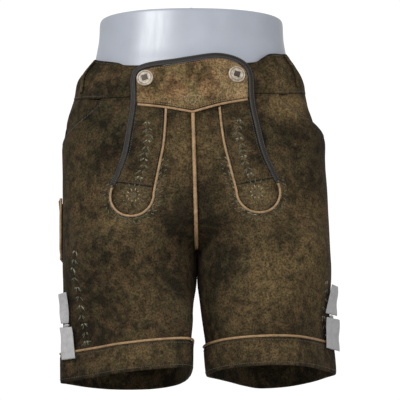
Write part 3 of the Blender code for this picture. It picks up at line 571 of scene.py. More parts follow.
# %% [markdown]
# ## The nap of suede
# Suede is a hide whose inner side is raised into a short nap. A painted image could show it, but
# layers of noise, from broad mottling down to single fibres, stay sharp at any distance. The
# group takes its three colours as inputs, so the dark and the tan suede share it.

# %% The nap of suede
def build_suede_group():
    """Mottled nap that is paler where worn and darker where shaded."""
    colours = [(label, "NodeSocketColor", (0.1, 0.1, 0.1, 1.0)) for label in ("Dark", "Light", "Worn")]
    outputs = (("Color", "NodeSocketColor"), ("Roughness", "NodeSocketFloat"), ("Height", "NodeSocketFloat"))
    group, source, result = new_group("suede_nap", colours, outputs)
    place = group.nodes.new("ShaderNodeTexCoord").outputs["Object"]
    broad = noise(group, place, 26.0, 3.0)
    patchy = noise(group, place, 95.0, 5.0)
    speckle = noise(group, place, 420.0, 3.0)
    fibre = noise(group, place, 1500.0, 2.0)
    mottle = remap(group, combine(group, "ADD", broad, patchy), 0.86, 1.16)
    colour = blend_colour(group, mottle, source.outputs["Dark"], source.outputs["Light"])
    hue = remap(group, noise(group, place, 60.0, 3.0, stretch=(1.0, 1.0, 0.7)), 0.40, 0.60)
    hue = blend_colour(group, hue, (0.92, 1.0, 0.90, 1.0), (1.10, 0.99, 0.95, 1.0))
    colour = blend_colour(group, 1.0, colour, hue, "MULTIPLY")
    rubbed = combine(group, "MULTIPLY", attribute(group, "worn"), remap(group, patchy, 0.3, 0.65, 0.45, 1.25))
    colour = blend_colour(group, rubbed, colour, source.outputs["Worn"])
    # Painted shade: the shade attribute darkens the nap towards near black.
    shaded = combine(group, "MULTIPLY", attribute(group, "shade"), 0.62)
    colour = blend_colour(group, shaded, colour, (0.006, 0.005, 0.003, 1.0))
    grain = remap(group, combine(group, "ADD", speckle, fibre), 0.80, 1.20, 0.35, 1.80)
    grey = group.nodes.new("ShaderNodeCombineColor")
    for socket in grey.inputs:
        group.links.new(grain, socket)
    colour = blend_colour(group, 1.0, colour, grey.outputs[0], "MULTIPLY")
    group.links.new(colour, result.inputs["Color"])
    group.links.new(remap(group, patchy, 0.3, 0.7, 0.82, 0.98), result.inputs["Roughness"])
    height = combine(group, "ADD", combine(group, "MULTIPLY", patchy, 1.4), speckle)
    height = combine(group, "ADD", height, combine(group, "MULTIPLY", fibre, 0.5))
    group.links.new(height, result.inputs["Height"])
    return group


# %% [markdown]
# ## Smooth leather, ribbon and thread
# Piping and binding are smooth leather with a fine pebbled grain, and Voronoi cells give its
# pores. Ribbon and thread show crossed strands. Two wave textures at right angles are enough for
# them, since single strands are finer than the picture shows.

# %% The grain of smooth leather, and the twist of thread
def build_leather_group():
    """Pebbled grain with darker pores and paler crests."""
    inputs = [(label, "NodeSocketColor", (0.1, 0.1, 0.1, 1.0)) for label in ("Low", "High")]
    inputs.append(("Grain scale", "NodeSocketFloat", 500.0))
    outputs = (("Color", "NodeSocketColor"), ("Roughness", "NodeSocketFloat"), ("Height", "NodeSocketFloat"))
    group, source, result = new_group("leather_grain", inputs, outputs)
    place = group.nodes.new("ShaderNodeTexCoord").outputs["Object"]
    cells = group.nodes.new("ShaderNodeTexVoronoi")
    group.links.new(place, cells.inputs["Vector"])
    group.links.new(source.outputs["Grain scale"], cells.inputs["Scale"])
    patchy = noise(group, place, 140.0, 4.0)
    tone = combine(group, "ADD", combine(group, "MULTIPLY", cells.outputs["Distance"], 0.5), patchy)
    colour = blend_colour(group, remap(group, tone, 0.5, 1.0), source.outputs["Low"], source.outputs["High"])
    shaded = combine(group, "MULTIPLY", attribute(group, "shade"), 0.7)
    colour = blend_colour(group, shaded, colour, (0.01, 0.008, 0.006, 1.0))
    group.links.new(colour, result.inputs["Color"])
    group.links.new(remap(group, patchy, 0.3, 0.7, 0.42, 0.68), result.inputs["Roughness"])
    group.links.new(cells.outputs["Distance"], result.inputs["Height"])
    return group


def build_weave_group():
    """Fine crossing threads for ribbon and sewing thread."""
    inputs = [(label, "NodeSocketColor", (0.3, 0.3, 0.3, 1.0)) for label in ("Low", "High")]
    inputs.append(("Threads per metre", "NodeSocketFloat", 900.0))
    outputs = (("Color", "NodeSocketColor"), ("Roughness", "NodeSocketFloat"), ("Height", "NodeSocketFloat"))
    group, source, result = new_group("thread_weave", inputs, outputs)
    place = group.nodes.new("ShaderNodeTexCoord").outputs["Object"]
    waves = []
    for direction in ("X", "Z"):
        wave = group.nodes.new("ShaderNodeTexWave")
        wave.bands_direction = direction
        wave.inputs["Distortion"].default_value = 1.5
        group.links.new(place, wave.inputs["Vector"])
        group.links.new(source.outputs["Threads per metre"], wave.inputs["Scale"])
        waves.append(wave.outputs["Fac"])
    patchy = noise(group, place, 160.0, 4.0)
    height = combine(group, "ADD", waves[0], waves[1])
    tone = combine(group, "ADD", combine(group, "MULTIPLY", height, 0.3), patchy)
    colour = blend_colour(group, remap(group, tone, 0.5, 1.1), source.outputs["Low"], source.outputs["High"])
    group.links.new(colour, result.inputs["Color"])
    group.links.new(remap(group, patchy, 0.3, 0.7, 0.5, 0.8), result.inputs["Roughness"])
    group.links.new(height, result.inputs["Height"])
    return group


SUEDE_NAP = build_suede_group()
LEATHER_GRAIN = build_leather_group()
THREAD_WEAVE = build_weave_group()
print("shared effects:", SUEDE_NAP.name, LEATHER_GRAIN.name, THREAD_WEAVE.name)

# %% [markdown]
# ## Materials
# Suede is rough, and its fibres catch the light only faintly at a low angle. The same nap group
# gives both the dark and the tan leather, with other colours. Bump stays shallow: real nap is a
# fraction of a millimetre high.

# %% Materials from the shared effects
def finish(name, group, colours, numbers, bump, roughness=True, scale=None):
    """A material whose colour and bump come from a group and whose steady values are typed."""
    material = bpy.data.materials.new(name)
    material.use_nodes = True
    tree = material.node_tree
    shader = tree.nodes["Principled BSDF"]
    effect = tree.nodes.new("ShaderNodeGroup")
    effect.node_tree = group
    for label, colour in colours.items():
        effect.inputs[label].default_value = (*colour, 1.0)
    if scale:
        effect.inputs[scale[0]].default_value = scale[1]
    for label, number in numbers.items():
        shader.inputs[label].default_value = number
    tree.links.new(effect.outputs["Color"], shader.inputs["Base Color"])
    if roughness:
        tree.links.new(effect.outputs["Roughness"], shader.inputs["Roughness"])
    relief = tree.nodes.new("ShaderNodeBump")
    relief.inputs["Strength"].default_value = bump[0]
    relief.inputs["Distance"].default_value = bump[1] * MM
    tree.links.new(effect.outputs["Height"], relief.inputs["Height"])
    tree.links.new(relief.outputs["Normal"], shader.inputs["Normal"])
    return material


def sewing_thread(name, low, high):
    """Sewing thread in one colour."""
    return finish(
        name, THREAD_WEAVE, {"Low": low, "High": high}, {"Sheen Weight": 0.15, "Specular IOR Level": 0.4},
        (0.2, 0.1), scale=("Threads per metre", 1400.0),
    )


NAP_SHEEN = {
    "Sheen Weight": 0.03, "Sheen Roughness": 0.5, "Sheen Tint": (0.6, 0.45, 0.28, 1.0),
    "Specular IOR Level": 0.08,
}
SUEDE = finish(
    "dark_suede", SUEDE_NAP,
    {"Dark": (0.0095, 0.0075, 0.0042), "Light": (0.038, 0.027, 0.014), "Worn": (0.108, 0.073, 0.032)},
    NAP_SHEEN, (0.55, 0.5),
)
TAN_SUEDE = finish(
    "tan_suede", SUEDE_NAP,
    {"Dark": (0.050, 0.032, 0.015), "Light": (0.130, 0.085, 0.042), "Worn": (0.205, 0.140, 0.072)},
    NAP_SHEEN, (0.5, 0.45),
)
PIPING_LEATHER = finish(
    "tan_piping", LEATHER_GRAIN,
    {"Low": (0.165, 0.100, 0.047), "High": (0.31, 0.195, 0.100)},
    {"Specular IOR Level": 0.3}, (0.25, 0.2), scale=("Grain scale", 700.0),
)
GREY_LEATHER = finish(
    "grey_binding", LEATHER_GRAIN,
    {"Low": (0.020, 0.019, 0.019), "High": (0.055, 0.052, 0.050)},
    {"Specular IOR Level": 0.2}, (0.35, 0.25), scale=("Grain scale", 600.0),
)
RIBBON = finish(
    "grey_ribbon", THREAD_WEAVE,
    {"Low": (0.235, 0.228, 0.230), "High": (0.35, 0.342, 0.345)},
    {"Sheen Weight": 0.2, "Specular IOR Level": 0.4}, (0.25, 0.15), scale=("Threads per metre", 700.0),
)
PALE_THREAD = sewing_thread("pale_thread", (0.12, 0.112, 0.072), (0.27, 0.25, 0.17))
TAN_THREAD = sewing_thread("tan_thread", (0.17, 0.10, 0.045), (0.30, 0.19, 0.09))
DARK_THREAD = sewing_thread("dark_thread", (0.035, 0.033, 0.026), (0.085, 0.08, 0.062))
HORN = finish(
    "button_horn", LEATHER_GRAIN,
    {"Low": (0.19, 0.15, 0.10), "High": (0.43, 0.37, 0.29)},
    {"Specular IOR Level": 0.5, "Coat Weight": 0.3, "Coat Roughness": 0.3}, (0.15, 0.1),
    scale=("Grain scale", 260.0),
)
BUTTON_CENTRE = finish(
    "button_centre", LEATHER_GRAIN,
    {"Low": (0.018, 0.012, 0.008), "High": (0.06, 0.04, 0.024)},
    {"Specular IOR Level": 0.4}, (0.3, 0.2), scale=("Grain scale", 800.0),
)
print("materials:", len(bpy.data.materials))

# %% [markdown]
# ## Camera first
# The object hangs above eye level and is seen slightly from below, with a long lens, as in a
# product photograph. The frame width is fixed at the object's distance, so the lens follows it.

# %% Camera
CAMERA_TARGET = Vector((0.0114, 0.0, -0.2544))
CAMERA_DISTANCE = 5.0
CAMERA_ELEVATION = math.radians(-11.3)
FRAME_WIDTH = 0.52
SENSOR = 36.0

camera_data = bpy.data.cameras.new("studio_camera")
camera_data.sensor_width = SENSOR
camera_data.lens = SENSOR * CAMERA_DISTANCE / FRAME_WIDTH
camera_data.clip_end = 50.0
camera = bpy.data.objects.new("studio_camera", camera_data)
bpy.context.scene.collection.objects.link(camera)
away = Vector((0.0, -math.cos(CAMERA_ELEVATION), math.sin(CAMERA_ELEVATION)))
camera.location = CAMERA_TARGET + away * CAMERA_DISTANCE
camera.rotation_euler = (-away).to_track_quat("-Z", "Y").to_euler()
bpy.context.scene.camera = camera
print("lens:", round(camera_data.lens), "mm")

# %% [markdown]
# ## Panels
# Each half has a front and a back panel, from inside the cuff to the waistband. The front one is
# cut away along the slanted pocket mouth, and its edge there stands a little open, as a used
# pocket does. The grid is fine enough for the creases to be real folds in the cloth.

# %% Front and back panels
SEWN_TRIM = 0.005          # what stays open of a seam that is sewn shut


def seam_girth(q):
    """Keep a girth just off the seams at -1, 0 and 1."""
    trim = SEWN_TRIM / GIRTH_SPAN
    return np.sign(q) * np.clip(np.abs(q), trim, 1.0 - trim)


def waist_seam(q):
    """Height of the waistband's lower edge at a girth."""
    return curve_at(WAIST_SEAM, q)


def panel_rise(q, shares):
    """Heights from the pocket's lower end to the waistband, by share of the way."""
    return MOUTH_START + (waist_seam(q) - SEAM - MOUTH_START) * shares


def front_panel(side, name):
    """From the cuff to the waistband; above the pocket's lower end it starts at the slanted mouth."""
    lower, upper, columns = 84, 34, 100
    shares = np.concatenate([np.zeros(lower), np.linspace(0.0, 1.0, upper)])[:, None]
    across = np.linspace(0.0, 1.0, columns)[None, :]
    start = curve_at(POCKET_MOUTH, shares)
    q = seam_girth(np.maximum(start + (1.0 - start) * across, 1e-6))
    height = panel_rise(q, shares)
    height[:lower] = np.linspace(LEG_END, MOUTH_START, lower, endpoint=False)[:, None]
    gape = POCKET_GAPE * np.maximum(1.0 - across * 4.0, 0.0) * np.sin(math.pi * shares)
    worn, shade = wear_and_shade_at(side * np.abs(base_surface(side, q, height)[..., 0]), height)
    shade = np.maximum(shade, 0.8 * edge_shade(q.shape))
    grid = surface(side, q, height, gape)
    return cloth("front_panel_" + name, grid, (worn, shade), CLOTH, SUEDE, "dark_suede")


def back_panel(side, name):
    """From the side seam round to the centre back and the inseam."""
    lower, upper, columns = 84, 20, 110
    shares = np.concatenate([np.zeros(lower), np.linspace(0.0, 1.0, upper)])[:, None]
    q = seam_girth(-np.linspace(1e-6, 1.0, columns))[None, :] * np.ones_like(shares)
    height = panel_rise(q, shares)
    height[:lower] = np.linspace(LEG_END, MOUTH_START, lower, endpoint=False)[:, None]
    worn, shade = wear_and_shade_at(base_surface(side, q, height)[..., 0], height, BACK_PATCHES)
    shade = np.maximum(shade, 0.8 * edge_shade(q.shape))
    grid = surface(side, q, height)
    return cloth("back_panel_" + name, grid, (worn, shade), CLOTH, SUEDE, "dark_suede")


def mouth_height(q):
    """Height of the pocket mouth at a girth below 0.5."""
    shares = curve_at([(row[1], row[0]) for row in POCKET_MOUTH], q)
    return MOUTH_START + (waist_seam(q) - MOUTH_START) * shares


def hip_facing(side, name):
    """Above the pocket mouth; its lower part slips under the front panel."""
    hidden_depth, strip, under = 18.0, 12.0, -CLOTH - UNDER_PANEL
    q = seam_girth(np.linspace(1e-6, 0.6, 50))[None, :] * np.ones((34, 1))
    mouth = mouth_height(np.minimum(q, 0.5))
    high = waist_seam(q) - SEAM
    low = np.minimum(mouth - hidden_depth, high - 2 * hidden_depth)
    height = low + (high - low) * np.linspace(0.0, 1.0, 34)[:, None]
    shown = np.minimum(height - mouth, (0.5 - q) * GIRTH_SPAN) - strip
    lift = under * (1.0 - smooth_step(shown / hidden_depth))
    worn, shade = wear_and_shade_at(base_surface(side, q, height)[..., 0], height)
    # Painted shadow under the front panel's edge, where the facing tucks under the pocket mouth.
    tucked_shade = 0.7 * np.exp(-np.maximum(height - mouth, 0.0) / 5.0)
    shade = np.maximum(np.maximum(shade, tucked_shade), 0.7 * edge_shade(q.shape))
    grid = surface(side, q, height, lift)
    return cloth("hip_facing_" + name, grid, (worn, shade), CLOTH, SUEDE, "dark_suede")


for side, name in SIDES:
    for piece in (front_panel(side, name), back_panel(side, name), hip_facing(side, name)):
        print(piece.name, "vertices:", len(piece.data.vertices))

# %% [markdown]
# ## Waistband and cuffs
# Both are bands folded over an edge, so their edges are rounded and a little thicker. Small
# puckers show where the band was eased on to the panel.

# %% Waistband and cuffs
def band_roundness(rows, drop, reach=2.2):
    """How far a band's first and last rows curl in."""
    row = np.arange(rows)
    distance = np.minimum(row, rows - 1 - row)
    return -drop * np.exp(-distance / reach)[:, None]


def waistband(side, name):
    """One half, from the centre front to the centre back."""
    rise, rows, columns = 0.4, 26, 130
    q = seam_girth(np.linspace(1.0, -1.0, columns))[None, :] * np.ones((rows, 1))
    low, high = waist_seam(q) + SEAM, curve_at(WAIST_TOP, q, side_column(side))
    share = np.linspace(0.0, 1.0, rows)[:, None]
    height = low + (high - low) * share
    pucker = 0.22 * np.sin(q * 47.0 + 2.0 * share) * np.sin(q * 19.0 + side) * (1.0 - share)
    lift = rise + pucker + band_roundness(rows, 0.5)
    x = base_surface(side, q, height)[..., 0]
    worn = np.where(q > 0, wear_and_shade_at(x, height)[0], wear_and_shade_at(x, height, BACK_PATCHES)[0])
    shade = 0.75 * edge_shade(q.shape, 2.0)
    grid = surface(side, q, height, lift)
    return cloth("waistband_" + name, grid, (worn, shade), CLOTH + rise, SUEDE, "dark_suede",
                 rests_on=["display_form"])


def cuff(side, name):
    """A closed band round the hem."""
    rows, columns = 18, 200
    q = (np.arange(columns) * 2.0 / columns - 1.0)[None, :] * np.ones((rows, 1))
    height = np.linspace(0.0, CUFF_HEIGHT, rows)[:, None] * np.ones((1, columns))
    wave = 0.35 * np.sin(q * 11.0 + side) * (1.0 - height / CUFF_HEIGHT)
    lift = ON_PANEL + CUFF_WALL + wave + band_roundness(rows, 0.9, 1.4)
    x = base_surface(side, q, height)[..., 0]
    worn = np.where(q > 0, wear_and_shade_at(x, height)[0], wear_and_shade_at(x, height, BACK_PATCHES)[0])
    # Painted shade along the cuff's folded top and bottom edges.
    row = np.arange(rows)[:, None]
    shade = 0.5 * np.exp(-np.minimum(row, rows - 1 - row) / 1.6) * np.ones_like(q)
    return cloth("cuff_" + name, surface(side, q, height, lift), (worn, shade), CUFF_WALL, SUEDE,
                 "dark_suede", closed=True)


for side, name in SIDES:
    for piece in (waistband(side, name), cuff(side, name)):
        print(piece.name, "vertices:", len(piece.data.vertices))

# %% [markdown]
# ## The drop front
# A broad flap buttons across the belly. A tan yoke crosses its top, and two dark tongues run down
# beside the centre and end in round tips. The flap's layers lie on the panels, so each takes the
# same surface and is lifted by its own clearance.

# %% Tables of the flap
# The yoke's seam and the flap's top rise to the right, and the rest is mirrored: x, height
YOKE_SEAM = ((-73, 342.7), (-35, 336.5), (-4, 330), (0, 329.3), (4, 330.2), (35, 338.4), (73, 346))
SLIT = ((75.0, 374), (75.5, 345), (80.5, 315), (87.5, 281), (96.0, 258), (104.5, 240))
TONGUE_EDGE = ((34.0, 337), (35.5, 315), (38.5, 288), (43.5, 265), (48.0, 245), (52.5, 225))
TIP_CENTRE, TIP_RADIUS, TIP_PIPING_TURN = (80.0, 225.0), 27.5, 204.0
TIP_SEAM_INNER, TIP_SEAM_OUTER = 233.0, 243.0
FLAP_EDGE = 75.0
FLAP_TOP = (
    (-74.5, 378), (-72.5, 385), (-67, 390.5), (-58, 393.5), (-43, 395.8), (-20, 398), (0, 400.8),
    (29, 404.5), (48, 402.5), (62, 396.5), (71, 388), (74.5, 378),
)


def table_path(table, count):
    """Even steps of x and height along a smooth path through a table's rows."""
    spots = np.arange(len(table))
    keys = np.linspace(0, len(table) - 1, len(table) * 16)
    dense = np.stack([
        curve_at(list(zip(spots, [row[column] for row in table])), keys) for column in (0, 1)
    ], axis=-1)
    return even_steps(dense, count)


def even_steps(path, count):
    """Resample a path of any dimension to evenly spaced points."""
    lengths = np.concatenate([[0.0], np.cumsum(np.linalg.norm(np.diff(path, axis=0), axis=1))])
    targets = np.linspace(0.0, lengths[-1], count)
    return np.stack([np.interp(targets, lengths, path[:, axis]) for axis in range(path.shape[1])], axis=-1)


def offset_path(path, distance):
    """Move a flat path to its right by a distance."""
    along = np.gradient(path, axis=0)
    right = np.stack([along[:, 1], -along[:, 0]], axis=-1)
    return path + right / np.linalg.norm(right, axis=1, keepdims=True) * distance


def slit_x(height):
    """How far the slit is from the centre."""
    return curve_at([(row[1], row[0]) for row in reversed(SLIT)], height)


def tongue_x(height):
    """How far a tongue's inner edge is from the centre."""
    return curve_at([(row[1], row[0]) for row in reversed(TONGUE_EDGE)], height)


def front_cloth(name, x, height, lift, wall, material, slot, worn=None, shade_depth=2.5):
    """A piece of cloth laid on the front from grids of x and height."""
    rubbed, shade = wear_and_shade_at(x, height)
    worn = rubbed if worn is None else worn
    shade = np.maximum(shade * 0.5, 0.85 * edge_shade(x.shape, shade_depth))
    panels = ["front_panel_left", "front_panel_right"]
    under = [panel for panel in panels if panel.endswith(name.split("_")[-1])] or panels
    return cloth(name, front(x, height, lift), (worn, shade), wall, material, slot, rests_on=under)


# %% [markdown]
# ## The flap's pieces
# A maker cuts the yoke, the tongues and their tips apart, so each is a piece here too. Each is a
# grid of x and height fitted between the piping and the binding, and then laid on the front. A
# sheet cut out by a curve would be quicker, but its triangles would crease badly at the edges.

# %% Yoke, tongues and tips
def flap_yoke():
    """The tan piece; its lower edge is a shallow V."""
    rows, columns = 46, 90
    margin = BINDING_WIDTH / 2 + 0.5
    top = offset_path(table_path(FLAP_TOP, columns), margin)
    edge = FLAP_EDGE - margin
    x = np.linspace(-edge, edge, columns)
    low = np.stack([x, curve_at(YOKE_SEAM, x) + PIPING_RADIUS + BESIDE_TRIM], axis=-1)
    share = np.linspace(0.0, 1.0, rows)[:, None, None]
    spots = low + (top - low) * share
    ripple = 0.35 * np.sin(spots[..., 0] / 9.0 + 0.6) * np.sin(spots[..., 1] / 13.0)
    lift = ON_WAISTBAND + CLOTH + np.abs(ripple) + band_roundness(rows, 0.3)
    worn = 0.65 * smooth_step((spots[..., 0] - 10.0) / 60.0)
    return front_cloth("flap_yoke", spots[..., 0], spots[..., 1], lift, CLOTH, TAN_SUEDE, "tan_suede",
                       worn, shade_depth=1.5)


def tongue(side, name):
    """Between the piping and the slit, from the yoke down to the slanted seam of its tip."""
    rows, columns = 72, 26
    inset, outset = PIPING_RADIUS + BESIDE_TRIM, BINDING_WIDTH / 2 + BESIDE_TRIM
    share = np.linspace(0.0, 1.0, columns)[None, :]
    bottom = TIP_SEAM_INNER + (TIP_SEAM_OUTER - TIP_SEAM_INNER) * share + SEAM
    top_x = TONGUE_EDGE[0][0] + (FLAP_EDGE - TONGUE_EDGE[0][0]) * share
    top = curve_at(YOKE_SEAM, side * top_x) - inset
    height = bottom + (top - bottom) * np.linspace(0.0, 1.0, rows)[:, None]
    inner, outer = tongue_x(height) + inset, slit_x(height) - outset
    x = side * (inner + (outer - inner) * share)
    return front_cloth("tongue_" + name, x, height, ON_PANEL + CLOTH, CLOTH, SUEDE, "dark_suede")


def tongue_tip(side, name):
    """The round end: a half disc, widened above to the tongue's own edges."""
    rows, columns = 34, 26
    radius = TIP_RADIUS - PIPING_RADIUS - BESIDE_TRIM
    angle = np.radians(np.linspace(84.0, 0.0, rows - 8))[:, None]
    share = np.linspace(0.0, 1.0, columns)[None, :]
    x = TIP_CENTRE[0] + radius * np.cos(angle) * (2.0 * share - 1.0)
    height = TIP_CENTRE[1] - radius * np.sin(angle) * np.ones_like(share)
    top_height = TIP_SEAM_INNER + (TIP_SEAM_OUTER - TIP_SEAM_INNER) * share - SEAM
    inner = tongue_x(top_height) + PIPING_RADIUS + BESIDE_TRIM
    outer = np.minimum(slit_x(top_height) - BINDING_WIDTH / 2 - BESIDE_TRIM, TIP_CENTRE[0] + radius)
    top_x = inner + (outer - inner) * share
    rise = np.linspace(0.0, 1.0, 9)[1:, None]
    x = np.concatenate([x, x[-1:] + (top_x - x[-1:]) * rise])
    height = np.concatenate([height, height[-1:] + (top_height - height[-1:]) * rise])
    return front_cloth("tongue_tip_" + name, side * x, height, ON_PANEL + CLOTH, CLOTH, SUEDE, "dark_suede")


flap_yoke()
for side, name in SIDES:
    tongue(side, name)
    tongue_tip(side, name)
print("flap pieces made:", len([name for name in CUTS if "tongue" in name or "yoke" in name]))

# %% [markdown]
# ## Binding
# Soft leather is folded over the flap's raw edge and stitched through. The outer face is rounded,
# with a shallow channel where each row of stitches pulls it down.

# %% Grey binding round the flap
def binding_path():
    """Up the left slit, across the top and down the right one."""
    right = table_path(SLIT, 60)
    left = right[::-1] * np.array([-1.0, 1.0])
    return np.concatenate([left, table_path(FLAP_TOP, 76), right])


BINDING_CLIMB_START, BINDING_CLIMB = 325.0, 30.0


def binding_lift(height):
    """How far out the binding lies; it climbs from the tongues on to the yoke."""
    over_yoke = smooth_step((height - BINDING_CLIMB_START) / BINDING_CLIMB)
    return ON_PANEL + (ON_WAISTBAND - ON_PANEL) * over_yoke + BINDING_WALL


def flap_binding():
    """Lanes of points side by side along the path: crowned, with a channel for each row of stitches."""
    path = binding_path()
    lanes = np.linspace(-1.0, 1.0, 13)
    spots = np.stack([offset_path(path, lane * BINDING_WIDTH / 2) for lane in lanes], axis=1)
    crown = 0.3 - 1.5 * lanes ** 4 - 0.35 * np.exp(-((np.abs(lanes) - 0.55) / 0.14) ** 2)
    lift = binding_lift(spots[:, 6:7, 1]) + crown[None, :]
    # Painted highlight: thin pale lines along the binding's two ridges, made by darkening the rest through
    # the shade attribute.
    ridge = np.exp(-((np.abs(lanes) - 0.83) / 0.12) ** 2)
    shade = (1.25 - 1.25 * ridge)[None, :] * np.ones((len(path), 1))
    worn = np.zeros_like(shade)
    grid = front(spots[..., 0], spots[..., 1], lift)
    return cloth("flap_binding", grid, (worn, shade), BINDING_WALL - 1.0, GREY_LEATHER, "grey_binding",
                 held="folded", rests_on=["flap_yoke", "front_panel_left", "front_panel_right"])


flap_binding()
print("binding length:", round(CUTS["flap_binding"][2], 3), "m")

# %% [markdown]
# ## Piping
# Piping is a cord inside a folded strip of leather, caught in a seam. A tube follows each seam's
# path, with its ring turned by the cloth's own normal. A faint unevenness keeps it from looking
# like wire.

# %% Tan piping
def tube_mesh(name, path, normals, radius, sides=12, cyclic=False, uneven=0.0):
    """A round tube along a path, closed by caps unless it is a ring."""
    count = len(path)
    if cyclic:
        along = np.roll(path, -1, axis=0) - np.roll(path, 1, axis=0)
    else:
        along = np.gradient(path, axis=0)
    along /= np.linalg.norm(along, axis=1, keepdims=True)
    across = np.cross(along, normals)
    across /= np.linalg.norm(across, axis=1, keepdims=True)
    up = np.cross(across, along)
    angle = np.linspace(0.0, 2 * math.pi, sides, endpoint=False)[None, :, None]
    step = np.arange(count)
    swell = 1.0 + uneven * np.sin(step * 1.7) * np.sin(step * 0.43 + 1.0)
    radii = radius * MM * swell[:, None, None]
    rings = path[:, None] + radii * (np.cos(angle) * across[:, None] + np.sin(angle) * up[:, None])
    vertices = rings.reshape(-1, 3).tolist()
    faces = []
    for row in range(count if cyclic else count - 1):
        after_row = (row + 1) % count
        for column in range(sides):
            after = (column + 1) % sides
            here, there = row * sides, after_row * sides
            faces.append((here + column, here + after, there + after, there + column))
    if not cyclic:
        faces.append(tuple(range(sides))[::-1])
        faces.append(tuple(range((count - 1) * sides, count * sides)))
    mesh = bpy.data.meshes.new(name)
    mesh.from_pydata(vertices, [], faces)
    tidy = bmesh.new()
    tidy.from_mesh(mesh)
    bmesh.ops.recalc_face_normals(tidy, faces=tidy.faces)
    tidy.to_mesh(mesh)
    tidy.free()
    mesh.shade_smooth()
    return mesh


def add_tube(name, path, normals, radius, material, slot, **shape):
    """A tube as a finished piece, in place of the solid of its name."""
    obj = bpy.data.objects.new(name, tube_mesh(name, path, normals, radius, **shape))
    obj.data.materials.append(material)
    return join_to_object(obj, slot, name)


PIPING_UNEVEN = 0.05


def front_piping(name, spots):
    """Piping along a path of x and height on the front."""
    path, normals = front(spots[:, 0], spots[:, 1], PIPING_LIFT)
    return add_tube(name, path, normals, PIPING_RADIUS, PIPING_LEATHER, "tan_piping", uneven=PIPING_UNEVEN)


def yoke_piping():
    """Along the yoke's seam, from binding to binding."""
    end = FLAP_EDGE - BINDING_WIDTH / 2 - PIPING_RADIUS
    x = np.linspace(-end, end, 90)
    return front_piping("yoke_piping", np.stack([x, curve_at(YOKE_SEAM, x)], axis=-1))


def tongue_path():
    """Down a tongue's inner edge and round its tip to the slit."""
    edge = table_path(TONGUE_EDGE, 60)
    edge[0, 1] -= PIPING_RADIUS * 2
    angle = np.radians(180.0 + TIP_PIPING_TURN * np.linspace(0.0, 1.0, 60)[1:])
    tip = np.stack([
        TIP_CENTRE[0] + TIP_RADIUS * np.cos(angle), TIP_CENTRE[1] + TIP_RADIUS * np.sin(angle),
    ], axis=-1)
    return even_steps(np.concatenate([edge, tip]), 130)


CENTRE_PIPING_LOW = 168.0
VALLEY_DEPTH, VALLEY_START, VALLEY_FADE = 2.2, RISE_TOP - 6.0, 26.0


def centre_piping():
    """Down the centre seam into the valley where the legs part; thicker than the rest."""
    top = float(curve_at(YOKE_SEAM, 0.0)) - PIPING_RADIUS - 0.6
    height = np.linspace(CENTRE_PIPING_LOW, top, 80)
    centre = base_surface(RIGHT, 1.0, height)
    rise = base_surface(RIGHT, 1.0, height + 1.0) - base_surface(RIGHT, 1.0, height - 1.0)
    outward = np.stack([np.zeros_like(height), -rise[:, 2], rise[:, 1]], axis=-1)
    outward /= np.linalg.norm(outward, axis=1, keepdims=True)
    valley = VALLEY_DEPTH * smooth_step((VALLEY_START - height) / VALLEY_FADE)
    path = centre + outward * (ON_PANEL + CENTRE_PIPING_RADIUS + valley)[:, None]
    path[:, 0] = 0.0
    normals = outward @ np.array(GARMENT_PLACE)[:3, :3].T
    return add_tube("centre_piping", to_frame(path), normals, CENTRE_PIPING_RADIUS, PIPING_LEATHER,
                    "tan_piping", uneven=PIPING_UNEVEN)


def cuff_piping(side, name):
    """A ring round the leg, just over the cuff."""
    q = np.arange(180) * 2.0 / 180 - 1.0
    path, normals = surface(side, q, CUFF_HEIGHT + PIPING_RADIUS + SEAM, PIPING_LIFT + FOLD_EASE)
    return add_tube("cuff_piping_" + name, path, normals, PIPING_RADIUS, PIPING_LEATHER, "tan_piping",
                    cyclic=True, uneven=PIPING_UNEVEN)


yoke_piping()
centre_piping()
for side, name in SIDES:
    front_piping("tongue_piping_" + name, tongue_path() * np.array([side, 1.0]))
    cuff_piping(side, name)
print("piping runs made")

# %% [markdown]
# ## Knife pocket and belt loops
# A narrow pocket for a knife is sewn to the left outer thigh, and its mouth stands open. The belt
# loops are strips tacked at both ends, so each stands off the waistband between its ends.

# %% Knife pocket and belt loops
KNIFE_FRONT, KNIFE_BACK = 0.045, -0.16
KNIFE_BOTTOM, KNIFE_TOP = 166.0, 240.0
KNIFE_GAPE = 3.4
BELT_LOOPS = (
    ("front_left", LEFT, 0.27, 371, 413),
    ("front_right", RIGHT, 0.28, 371, 414),
    ("back_left", LEFT, -0.55, 380, 423),
    ("back_right", RIGHT, -0.55, 380, 423),
)
BELT_LOOP_WIDTH, BELT_LOOP_WALL, BELT_LOOP_STAND = 9.0, 1.8, 1.2


def knife_outline(share):
    """Front and back girth of the pocket at a share of its height; the bottom tapers."""
    middle = (KNIFE_FRONT + KNIFE_BACK) / 2
    taper = 0.35 + 0.65 * np.sin(math.pi / 2 * np.minimum(share * 2.2, 1.0))
    half = (KNIFE_FRONT - KNIFE_BACK) / 2 * taper
    return middle + half, middle - half


def knife_pocket():
    """A patch on the thigh that stands further off the higher it goes."""
    share = np.linspace(0.0, 1.0, 40)[:, None]
    across = np.linspace(0.0, 1.0, 30)[None, :]
    front_q, back_q = knife_outline(share)
    q = front_q + (back_q - front_q) * across
    height = KNIFE_BOTTOM + (KNIFE_TOP - KNIFE_BOTTOM) * share * np.ones_like(across)
    gape = KNIFE_GAPE * share ** 2 * np.sin(math.pi * across)
    shade = 0.8 * edge_shade(q.shape)
    grid = surface(LEFT, q, height, 0.6 + CLOTH + gape)
    return cloth("knife_pocket", grid, (0.2 * share * np.ones_like(q), shade), CLOTH, SUEDE, "dark_suede",
                 rests_on=["front_panel_left", "back_panel_left"])


